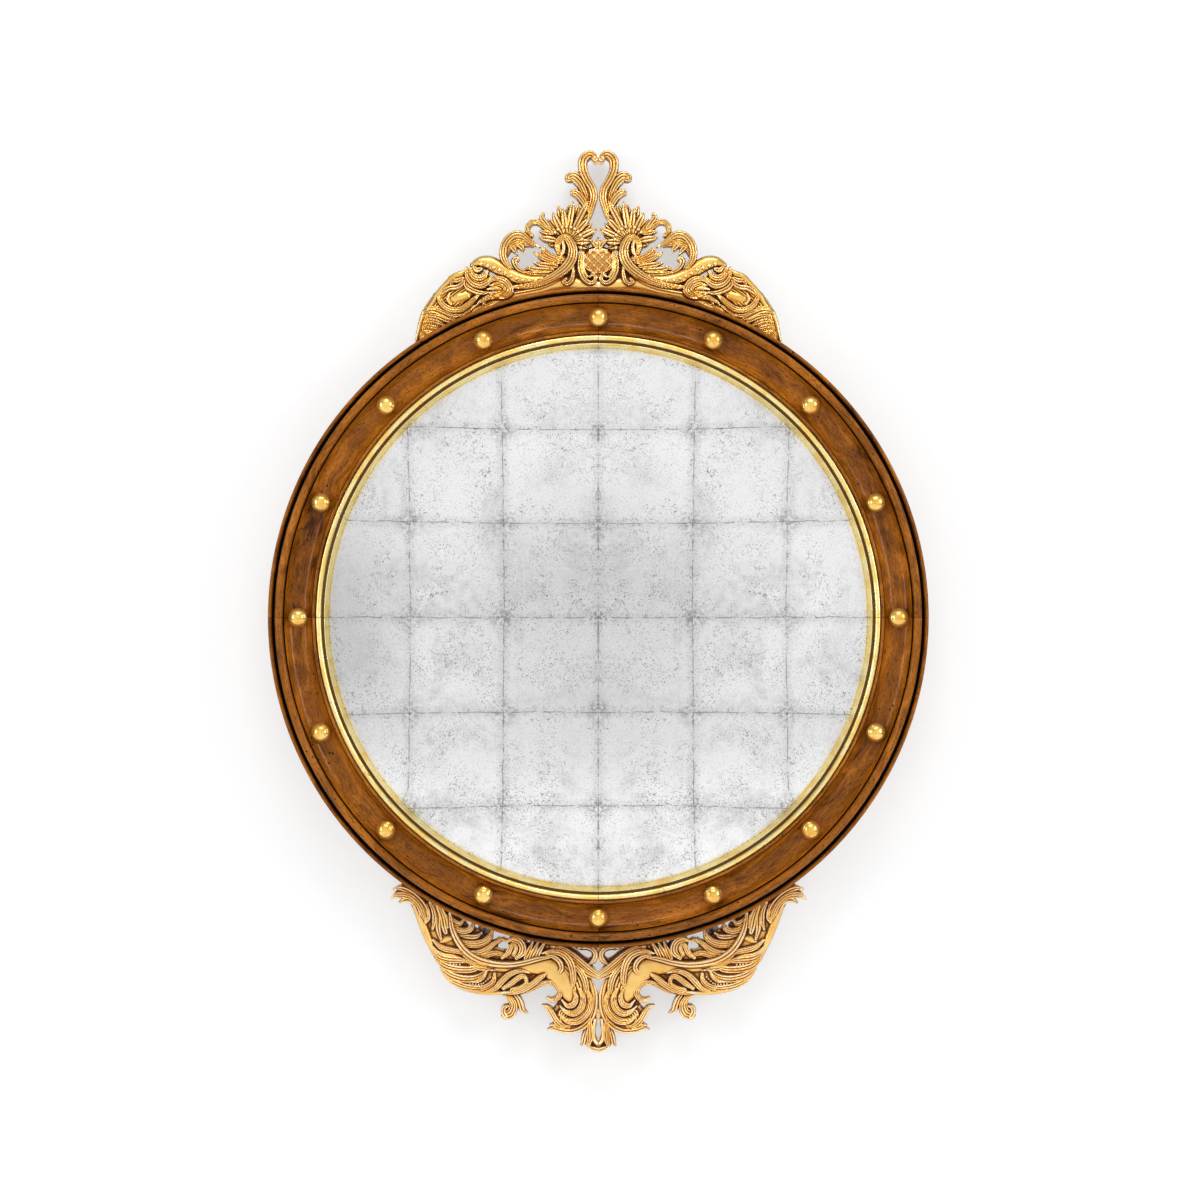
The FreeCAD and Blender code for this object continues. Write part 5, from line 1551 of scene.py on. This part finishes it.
@dataclass
class WalnutFrame:
    """Coved walnut moulding of four segments, with its beads and black grooves."""

    outer_bead_w: float = 4.0
    outer_bead_top: float = 40.8
    groove_h: float = 36.0
    groove_r: float = 322.5
    torus_w: float = 8.0
    torus_top: float = 49.0
    cove_out_r: float = 313.0
    cove_w: float = 27.0
    cove_h: float = 44.0
    cove_depth: float = 10.0
    inner_bead_w: float = 3.0
    frame_in_r: float = 282.5
    lip_h: float = 37.0
    rebate_r: float = 290.0
    # Share of a groove's black that is laid on its neighbours as painted shade.
    creep: float = 0.55

    def section(self) -> tuple[list[Point2], list[float]]:
        """Points of the moulding's section, and how black each one is."""
        half = self.outer_bead_w / 2.0
        torus = self.torus_w / 2.0
        cove_half = self.cove_w / 2.0
        cove_r = (cove_half ** 2 + self.cove_depth ** 2) / (2.0 * self.cove_depth)
        middle = (self.cove_out_r - cove_half, self.cove_h - self.cove_depth + cove_r)
        reach = math.degrees(math.asin(cove_half / cove_r))
        bead = self.inner_bead_w / 2.0
        parts = [
            ([(FRAME_R, 0.0), (FRAME_R, 20.0)], 0.0),
            (arc((FRAME_R - half, self.outer_bead_top - half), (half, half), 0.0, 180.0, 10), 0.0),
            ([(FRAME_R - self.outer_bead_w - 0.4, self.groove_h),
              (self.groove_r + 0.3, self.groove_h)], 1.0),
            (arc((self.groove_r - torus, self.torus_top - torus), (torus, torus), 0.0, 180.0, 14), 0.0),
            ([(self.groove_r - self.torus_w - 0.3, self.cove_h - 1.6),
              (self.cove_out_r + 0.4, self.cove_h - 1.6)], 1.0),
            ([(self.cove_out_r, self.cove_h)], 0.15),
            (arc(middle, (cove_r, cove_r), -90.0 + reach, -90.0 - reach, 26), 0.0),
            ([(self.frame_in_r + self.inner_bead_w + 0.35, self.cove_h - 1.0)], 0.8),
            (arc((self.frame_in_r + bead, self.cove_h - 0.3), (bead, bead), 0.0, 180.0, 8), 0.0),
            ([(self.frame_in_r, self.lip_h), (self.rebate_r, self.lip_h), (self.rebate_r, 0.0)], 0.3),
        ]
        points, black = unrolled(parts)
        # Each point takes the creep share of its neighbours' black. This is painted shade on the flanks of
        # the beads and at the cove's edge.
        crept = [max(here, self.creep * before, self.creep * after)
                 for before, here, after in zip(black[-1:] + black, black, black[1:] + black[:1])]
        return points, crept

    def build(self) -> Piece:
        """Turns the moulding."""
        points, black = self.section()
        mesh = Turning(columns=480).solid("walnut_frame", points, black)
        made = dressed("walnut_frame", mesh, WALNUT, FRAME_BACK)
        for face in mesh.polygons:
            if face.normal.y > 0.9 or (abs(face.normal.y) < 0.1 and face.center.y > -0.040
                                       and math.hypot(face.center.x, face.center.z) < 0.2905):
                face.material_index = 1
        return Piece(made, ("walnut_frame_segments",), "walnut")


@dataclass
class GiltSlip:
    """Gilt slip inside the frame: bead, dark groove and sloping fillet, with its hidden flange."""

    out_r: float = 282.2
    bead_w: float = 5.7
    bead_top: float = 44.0
    groove_h: float = 38.6
    groove_w: float = 2.6
    fillet_h: float = 41.0
    sight_r: float = 269.7
    back_h: float = 32.5
    flange_r: float = 289.0
    flange_t: float = 4.2

    def build(self) -> Piece:
        """Turns the slip."""
        half = self.bead_w / 2.0
        inner = self.out_r - self.bead_w
        groove = inner - self.groove_w
        # The groove's dark (0.95) is painted shade, in the same dark as the slip's pits.
        parts = [
            ([(self.out_r, self.back_h + self.flange_t)], 0.5),
            (arc((self.out_r - half, self.bead_top - half), (half, half), 0.0, 180.0, 12), 0.0),
            ([(inner - 0.2, self.groove_h + 0.6), (inner - 0.4, self.groove_h),
              (groove, self.groove_h)], 0.95),
            ([(groove - 0.1, self.fillet_h - 0.6)], 0.3),
            (arc((groove - 0.7, self.fillet_h - 0.6), (0.6, 0.6), 0.0, 110.0, 4), 0.0),
            ([(self.sight_r + 0.3, self.back_h + 1.2), (self.sight_r, self.back_h + 0.6),
              (self.sight_r, self.back_h)], 0.0),
            ([(self.flange_r, self.back_h), (self.flange_r, self.back_h + self.flange_t)], 0.5),
        ]
        points, black = unrolled(parts)
        mesh = Turning(columns=480).solid("gilt_slip_turned", points, black)
        return Piece(dressed("gilt_slip_turned", mesh, SLIP_GOLD), ("gilt_slip",), "gilt_wood")


@dataclass
class ConvexGlass:
    """Dished glass, silvered with squares of leaf."""

    rim_r: float = 289.0
    thickness: float = 4.0
    sphere_r: float = 1102.4
    crown_h: float = 65.75
    rim_cut: float = 0.8

    def front(self, radius: float) -> float:
        """Height of the front at a radius."""
        return self.crown_h - self.sphere_r + math.sqrt(self.sphere_r ** 2 - radius ** 2)

    def rear(self, radius: float) -> float:
        """Height of the back at a radius."""
        inner = self.sphere_r - self.thickness
        return self.crown_h - self.sphere_r + math.sqrt(inner ** 2 - radius ** 2)

    def build(self) -> Piece:
        """Turns the glass between two spheres and closes its poles."""
        steps = [self.rim_r * (1.0 - i / 28.0) for i in range(29)]
        rim = self.rim_r
        front = [(r, self.front(r)) for r in steps[1:]]
        rear = [(r, self.rear(r)) for r in reversed(steps)]
        cut = self.rim_cut
        edge = [(rim, self.rear(rim) + cut), (rim, self.front(rim) - cut),
                (rim - cut, self.front(rim - cut))]
        mesh = Turning(columns=192, joint_d=0.0).solid("silvered_glass", rear + edge + front, closed=False)
        weld(mesh)
        made = dressed("silvered_glass", mesh, SILVER_GLASS)
        return Piece(made, ("convex_glass",), "silvered_glass")


@dataclass
class GiltBalls:
    """Turned balls in the cove, set out by a node tree."""

    count: int = 16
    ball_r: float = 9.5
    ring_r: float = 299.5
    centre_h: float = 43.4

    def build(self) -> Piece:
        """Sets the balls out round the cove."""
        settings = {
            "Count": self.count, "Ring Radius": self.ring_r * MM, "Ball Radius": self.ball_r * MM,
            "Depth": height_y(self.centre_h), "Material": BALL_GOLD.material(),
        }
        start = bpy.data.meshes.new("balls")
        made = REPEATS.run("turned_balls", start, REPEATS.ball_ring(), settings)
        return Piece(made, ("gilt_balls",), "burnished_gilt")


@dataclass
class Carving:
    """What the crest and the apron share: a half that is carved once and mirrored, with beads on both."""

    kind: str = "crest"
    base: float = 20.0
    ground_h: float = 17.0
    lift: float = 1.5
    sign: int = 1
    finish: Finish = CREST_GILDING

    def blank(self, out_end: float, up_range: Point2) -> ReliefGrid:
        pitch = 0.55
        return ReliefGrid((0.0, out_end), up_range, self.base, self.ground_h, self.lift, self.sign, pitch)

    def row(self, stations: Sequence[Station], count: int, level: float) -> list[tuple[float, ...]]:
        """Out, up, radius and height of beads at even steps along a row."""
        run = smooth_run(stations, 0.5)
        return [(*run[int(round(share * (len(run) - 1)))], level) for share in np.linspace(0.0, 1.0, count)]

    def halves(self, grid: ReliefGrid) -> list[Piece]:
        """Makes both halves from one height field."""
        pieces = []
        for side in ("left", "right"):
            name = f"{self.kind}_carving_{side}"
            made = dressed(name, grid.piece(name, side == "left"), self.finish, CARVING_BACK)
            pieces.append(Piece(made, (f"{self.kind}_{side}",), "gilt_wood"))
        return pieces

    def beads(self, name: str, spots: Sequence[tuple[float, ...]]) -> Piece:
        """Sets carved pearls on both halves."""
        places = []
        sizes = []
        for flip in (-1.0, 1.0):
            for out, up, radius, level in spots:
                places.append(Vector((flip * out * MM, height_y(level), self.sign * (FRAME_R + up) * MM)))
                sizes.append(radius * MM)
        return Piece(REPEATS.set_out(name, half_pearl(), places, sizes, self.finish), (), "gilt_wood")


@dataclass
class CarvedCrest(Carving):
    """Pierced and layered crest in two halves, with its pearls, studs and lattice boss."""

    boss_up: float = 27.5
    boss_w: float = 32.0
    boss_h: float = 25.0
    boss_top: float = 26.9
    lattice_pitch: float = 5.8
    lattice_rise: float = 2.0
    dome: float = 3.6
    pearl_r: float = 2.0
    pearl_ring_r: float = 15.2
    pearl_h: float = 24.3
    pearl_count: int = 11
    pearl_start: float = 39.0
    pearl_step: float = 16.4
    stud_h: float = 23.4
    stud_count: int = 12

    def grid(self) -> ReliefGrid:
        """Height field of the right half."""
        grid = self.blank(185.0, (-58.0, 140.0))
        grid.lay_ground(CREST_GROUND)
        grid.carve(Stroke("fan bed", 0, ((*FAN_CENTRE, 14.0), (FAN_CENTRE[0] + 0.5, FAN_CENTRE[1], 14.0)),
                          1, Cut.HOLLOW))
        for stroke in CREST_STROKES + fan_rays(FAN_CENTRE, FAN_TIPS):
            grid.carve(stroke)
        return grid

    def spots(self) -> list[tuple[float, ...]]:
        """Out, up, radius and height of the fan's pearls and the band's studs."""
        spots = []
        for k in range(self.pearl_count):
            turn = math.radians(self.pearl_start + self.pearl_step * k)
            spots.append((FAN_CENTRE[0] + self.pearl_ring_r * math.cos(turn),
                          FAN_CENTRE[1] + self.pearl_ring_r * math.sin(turn), self.pearl_r, self.pearl_h))
        band = ((117.4, 24.9, 2.6), (101.3, 19.6, 2.6), (88.9, 13.2, 2.4),
                (76.1, 8.5, 2.2), (63.1, 8.7, 1.9), (50.8, 12.6, 1.6))
        return spots + self.row(band, self.stud_count, self.stud_h)

    def boss(self) -> Mesh:
        """Oval dome crossed by raised ribs, closed at its back."""
        rings, sides = 34, 120
        points = [(0.0, self.boss_top, 0.0)]
        raised = [1.0]
        for i in range(1, rings + 1):
            share = i / rings
            for k in range(sides):
                turn = 2.0 * math.pi * k / sides
                x = share * self.boss_w / 2.0 * math.cos(turn)
                z = share * self.boss_h / 2.0 * math.sin(turn)
                rib = max(self.rib((x + z) / math.sqrt(2.0)), self.rib((x - z) / math.sqrt(2.0)))
                rim = math.exp(-((share - 0.95) / 0.05) ** 2)
                raised.append(max(rib * (share < 0.93), rim))
                drop = self.dome * share ** 2.4 + self.lattice_rise * (1.0 - raised[-1])
                points.append((x, self.boss_top - drop, z))
        points += [(x, self.ground_h, z) for x, _, z in points[-sides:]]
        raised += [0.0] * sides
        faces = [(0, 1 + k, 1 + (k + 1) % sides) for k in range(sides)]
        for i in range(rings):
            low = 1 + i * sides
            high = low + sides
            for k in range(sides):
                n = (k + 1) % sides
                faces.append((low + k, high + k, high + n, low + n))
        faces.append(tuple(1 + rings * sides + k for k in range(sides)))
        out, height, up = np.array(points).T
        marks = np.array(raised)
        place = np.stack([out, -(PAD_T + height), FRAME_R + self.boss_up + up], -1) * MM
        mesh = build_mesh("lattice_boss", place, faces, 60.0)
        repair_normals(mesh)
        # Low depth in the cells between the ribs becomes painted shade, and the ridge mark on the ribs
        # becomes a painted highlight.
        keep_on_vertices(mesh, "depth", 0.34 + 0.5 * marks)
        keep_on_vertices(mesh, "ridge", marks)
        return mesh

    def rib(self, across: float) -> float:
        """Height of the lattice at a distance across its ribs, from 0 to 1."""
        off = abs((across / self.lattice_pitch + 0.5) % 1.0 - 0.5) * 2.0
        return max(0.0, 1.0 - (off / 0.27) ** 2) ** 0.5

    def build(self) -> list[Piece]:
        """Carves both halves and sets on the boss, pearls and studs."""
        pieces = self.halves(self.grid())
        pieces.append(Piece(dressed("lattice_boss", self.boss(), self.finish), ("crest_boss",), "gilt_wood"))
        return pieces + [self.beads("crest_pearls", self.spots())]


@dataclass
class CarvedApron(Carving):
    """Pierced apron of acanthus sweeps in two halves, with its beaded rows."""

    kind: str = "apron"
    base: float = 19.0
    ground_h: float = 17.5
    sign: int = -1
    finish: Finish = APRON_GILDING
    bead_h: float = 21.6

    def grid(self) -> ReliefGrid:
        """Height field of the right half, with up measured away from the frame."""
        grid = self.blank(209.0, (-72.0, 109.0))
        grid.lay_ground(APRON_GROUND)
        for stroke in APRON_STROKES:
            grid.carve(stroke)
        for hole in APRON_PIERCINGS:
            grid.pierce(hole)
        return grid

    def spots(self) -> list[tuple[float, ...]]:
        """Out, up, radius and height of the small beads between the leaves."""
        rows = (
            (((163, 6.5, 1.3), (154, 8.2, 1.3), (144, 9.4, 1.1)), 7),
            (((158, 15.5, 1.2), (149, 18, 1.2), (139, 18.6, 1.1)), 7),
            (((129, 38, 1.1), (117, 37.6, 1.1), (108.6, 31, 1.0)), 9),
        )
        return [spot for stations, count in rows for spot in self.row(stations, count, self.bead_h)]

    def build(self) -> list[Piece]:
        """Carves both halves and sets on the beads."""
        return self.halves(self.grid()) + [self.beads("apron_beads", self.spots())]


@dataclass
class BackHardware:
    """Screws and D-rings at the back, and finishes of the nodes that stay as they are."""

    head_r: float = 3.2
    head_t: float = 1.2
    slot_w: float = 0.8
    slot_d: float = 0.5
    screw_l: float = 13.0
    turn_step: float = 37.0
    wire_r: float = 1.2
    ring_half_w: float = 8.7
    ring_up: float = 7.5
    pin_r: float = 1.3

    def screw(self) -> Mesh:
        """Slotted countersunk screw that points forward, its face at the origin."""
        sides = 24
        rings = ((self.head_r, 0.0), (self.head_r * 0.47, self.head_t),
                 (self.head_r * 0.45, self.screw_l - 2.0), (0.15, self.screw_l))
        points = ring_points(rings, sides)
        faces = ring_quads(len(rings), sides)
        faces.append(tuple((len(rings) - 1) * sides + k for k in range(sides)))
        half = self.slot_w / 2.0
        upper = [k for k in range(sides) if points[k][2] > half]
        lower = [k for k in range(sides) if points[k][2] < -half]
        edge = math.sqrt(self.head_r ** 2 - half ** 2)
        first = len(points)
        for deep in (0.0, -self.slot_d):
            points += [(edge, deep, half), (-edge, deep, half), (-edge, deep, -half), (edge, deep, -half)]
        faces.append(tuple([first] + upper + [first + 1]))
        faces.append(tuple([first + 2] + lower + [first + 3]))
        for corners in ((4, 5, 6, 7), (0, 1, 5, 4), (2, 3, 7, 6), (1, 2, 6, 5), (3, 0, 4, 7)):
            faces.append(tuple(first + corner for corner in corners))
        mesh = build_mesh("screw", np.array(points) * MM, faces, 30.0)
        repair_normals(mesh)
        return mesh

    def middles(self, node: str, count: int) -> list[Vector]:
        """Places of a node's alike solids on its rearmost plane, in the order of the frame's mesh."""
        work = bmesh.new()
        work.from_mesh(bpy.data.objects[node].data)
        bmesh.ops.remove_doubles(work, verts=work.verts, dist=1e-6)
        waiting = dict.fromkeys(work.verts)
        found = []
        while waiting:
            start = next(iter(waiting))
            island = {start: None}
            edge = [start]
            while edge:
                vertex = edge.pop()
                for link in vertex.link_edges:
                    other = link.other_vert(vertex)
                    if other not in island:
                        island[other] = None
                        edge.append(other)
            waiting = {v: None for v in waiting if v not in island}
            rear = max(v.co.y for v in island)
            face = [v.co for v in island if v.co.y > rear - 1e-5]
            found.append(sum(face, Vector()) / len(face))
        work.free()
        if len(found) != count:
            LOG.warning("%s has %d solids, %d expected", node, len(found), count)
        return found

    def screws(self) -> list[Piece]:
        """Slotted screws of the plates and of the hangers."""
        pieces = []
        for node, count, finish, slot in (("strap_screws", 8, STEEL, "steel"),
                                          ("hanger_screws", 4, BRASS, "brass")):
            places = self.middles(node, count)
            turns = [math.radians(self.turn_step * k) for k in range(len(places))]
            made = REPEATS.set_out("slotted_" + node, self.screw(), places, [1.0] * len(places),
                                   finish, turns)
            pieces.append(Piece(made, (node,), slot))
        return pieces

    def ring(self, side: str) -> Piece:
        """Round-wire D-ring with its straight bar."""
        low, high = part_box("d_ring_" + side)
        centre_x = (low.x + high.x) / 2.0
        pivot_y = (low.y + high.y) / 2.0
        pivot_z = low.z + self.pin_r * MM
        path = []
        wide = self.ring_half_w * MM
        for k in range(25):
            turn = math.pi * k / 24
            path.append(Vector((centre_x + wide * math.cos(turn), pivot_y,
                                pivot_z + self.ring_up * MM + wide * math.sin(turn))))
        for k in range(1, 6):
            path.append(Vector((centre_x - wide, pivot_y, pivot_z + self.ring_up * MM * (1 - k / 5.0))))
        for k in range(1, 12):
            path.append(Vector((centre_x - wide + 2 * wide * k / 12.0, pivot_y, pivot_z)))
        for k in range(0, 5):
            path.append(Vector((centre_x + wide, pivot_y, pivot_z + self.ring_up * MM * k / 5.0)))
        mesh = swept("wire_ring_" + side, path, self.wire_r * MM)
        return Piece(dressed("wire_ring_" + side, mesh, BRASS), ("d_ring_" + side,), "brass", side + "_ring")

    def keep(self, nodes: dict[str, Object]) -> None:
        """Gives every node that still shows its finish."""
        finishes = (
            (PINE, ("frame_joint_tongues", "glass_blocks", "back_panel", "crest_seam_key",
                    "apron_seam_key")),
            (IRON, ("back_panel_nails", "ball_brads")),
            (STEEL, ("crest_strap_left", "crest_strap_right", "apron_strap_left", "apron_strap_right")),
            (BRASS, ("hanger_strap_left", "hanger_strap_right")),
            (CORK, ("wall_pad_left", "wall_pad_right")),
        )
        for finish, names in finishes:
            for name in names:
                kept = nodes[name]
                kept.data.materials.clear()
                kept.data.materials.append(finish.material())
                LOG.info("%s: kept, in %s", name, finish.name)

    def build(self) -> list[Piece]:
        """Makes the screws and the rings."""
        return self.screws() + [self.ring("left"), self.ring("right")]


@dataclass
class Studio:
    """Pale wall and floor, soft lamps, and the camera at the photograph's place."""

    frame_w: float = 1.2
    lens: float = 100.0
    sensor: float = 36.0
    centre: tuple[float, float, float] = (0.0017, -0.040, 0.0175)
    wall: Colour = (0.93, 0.93, 0.93)
    shadow_lift: float = 0.55

    def camera(self) -> None:
        """Places the camera square on to the mirror."""
        data = bpy.data.cameras.new("camera")
        data.lens = self.lens
        data.sensor_width = self.sensor
        made = new_object("camera", data)
        reach = self.frame_w * self.lens / self.sensor
        made.location = (self.centre[0], self.centre[1] - reach, self.centre[2])
        made.rotation_euler = (math.pi / 2.0, 0.0, 0.0)
        bpy.context.scene.camera = made

    def lamp(self, name: str, place: Sequence[float], size: Point2, watts: float) -> None:
        """Adds a soft lamp that faces the mirror's centre."""
        data = bpy.data.lights.new(name, "AREA")
        data.shape = "RECTANGLE"
        data.size, data.size_y = size
        data.energy = watts
        made = new_object(name, data)
        made.location = place
        made.rotation_euler = (-Vector(place)).to_track_quat("-Z", "Y").to_euler()

    def backdrop(self) -> None:
        """Lays the wall behind the mirror and a floor far below it."""
        mesh = bpy.data.meshes.new("wall")
        wide, tall, low = 3.0, 2.4, -1.0
        behind = 0.001
        mesh.from_pydata([(-wide, behind, low), (wide, behind, low), (wide, behind, tall),
                          (-wide, behind, tall)], [], [(0, 1, 2, 3)])
        wall = new_object("wall", mesh)
        floor_mesh = bpy.data.meshes.new("floor")
        floor_mesh.from_pydata([(-wide, -4.0, low), (wide, -4.0, low), (wide, 3.0, low), (-wide, 3.0, low)],
                               [], [(0, 1, 2, 3)])
        floor = new_object("floor", floor_mesh)
        for made, see_through in ((wall, True), (floor, False)):
            made.data.materials.append(self.plain(made.name + "_paint", see_through))

    def plain(self, name: str, see_through: bool) -> Material:
        """Pale paint; the wall's is clear from behind and to light, so that the mirror's back shows."""
        made = bpy.data.materials.new(name)
        made.use_nodes = True
        g = Graph(made.node_tree)
        shader = made.node_tree.nodes["Principled BSDF"]
        shader.inputs["Base Color"].default_value = rgba(self.wall)
        shader.inputs["Roughness"].default_value = 0.9
        shader.inputs["Specular IOR Level"].default_value = 0.1
        surface = shader.outputs[0]
        if see_through:
            rays = g.node("ShaderNodeLightPath").outputs["Is Camera Ray"]
            glow = g.node("ShaderNodeEmission")
            lit = g.node("ShaderNodeMixShader")
            g.feed(lit.inputs[0], self.shadow_lift)
            g.feed(lit.inputs[1], surface)
            g.feed(lit.inputs[2], glow.outputs[0])
            ahead = g.math("SUBTRACT", 1.0, g.node("ShaderNodeNewGeometry").outputs["Backfacing"])
            either = g.node("ShaderNodeMixShader")
            g.feed(either.inputs[0], g.times(rays, ahead))
            g.feed(either.inputs[1], g.node("ShaderNodeBsdfTransparent").outputs[0])
            g.feed(either.inputs[2], lit.outputs[0])
            surface = either.outputs[0]
        g.feed(made.node_tree.nodes["Material Output"].inputs["Surface"], surface)
        return made

    def surroundings(self) -> None:
        """Soft surroundings: white for the camera, and for gloss brighter in front than at the sides."""
        world = bpy.data.worlds.new("surroundings")
        bpy.context.scene.world = world
        world.use_nodes = True
        g = Graph(world.node_tree)
        ground = world.node_tree.nodes["Background"]
        direction = g.node("ShaderNodeTexCoord").outputs["Generated"]
        x, y, z = g.split(direction)
        facing = g.remap(g.math("ABSOLUTE", y), 0.45, 0.93)
        above = g.times(g.remap(z, 0.15, 0.85), 0.5)
        gloss = g.mix(g.math("MAXIMUM", facing, above), (0.11, 0.108, 0.104), (0.93, 0.93, 0.93))
        rays = g.node("ShaderNodeLightPath")
        seen = g.mix(rays.outputs["Is Glossy Ray"], (0.72, 0.72, 0.72), gloss)
        seen = g.mix(rays.outputs["Is Camera Ray"], seen, (1.0, 1.0, 1.0))
        g.feed(ground.inputs["Color"], seen)
        ground.inputs["Strength"].default_value = 1.0

    def build(self) -> None:
        """Sets the whole stage."""
        scene = bpy.context.scene
        scene.view_settings.view_transform = "Standard"
        self.camera()
        self.backdrop()
        self.surroundings()
        self.lamp("right_softbox", (2.5, -1.5, 0.7), (0.7, 1.5), 25.0)
        self.lamp("left_softbox", (-2.5, -1.4, 0.3), (0.6, 1.5), 19.0)
        self.lamp("top_softbox", (0.1, -1.6, 2.4), (1.6, 0.6), 24.0)


def main() -> None:
    """Builds the classes in order and reports each piece."""
    logging.basicConfig(level=logging.INFO, format="%(name)s: %(message)s")
    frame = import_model()
    hardware = BackHardware()
    pieces = [WalnutFrame().build(), GiltSlip().build(), ConvexGlass().build(), GiltBalls().build()]
    pieces += CarvedCrest().build()
    pieces += CarvedApron().build()
    pieces += hardware.build()
    for piece in pieces:
        piece.settle()
    hardware.keep(frame["nodes"])
    Studio().build()
    LOG.info("%d pieces dressed", len(pieces))


if __name__ == "__main__":
    main()
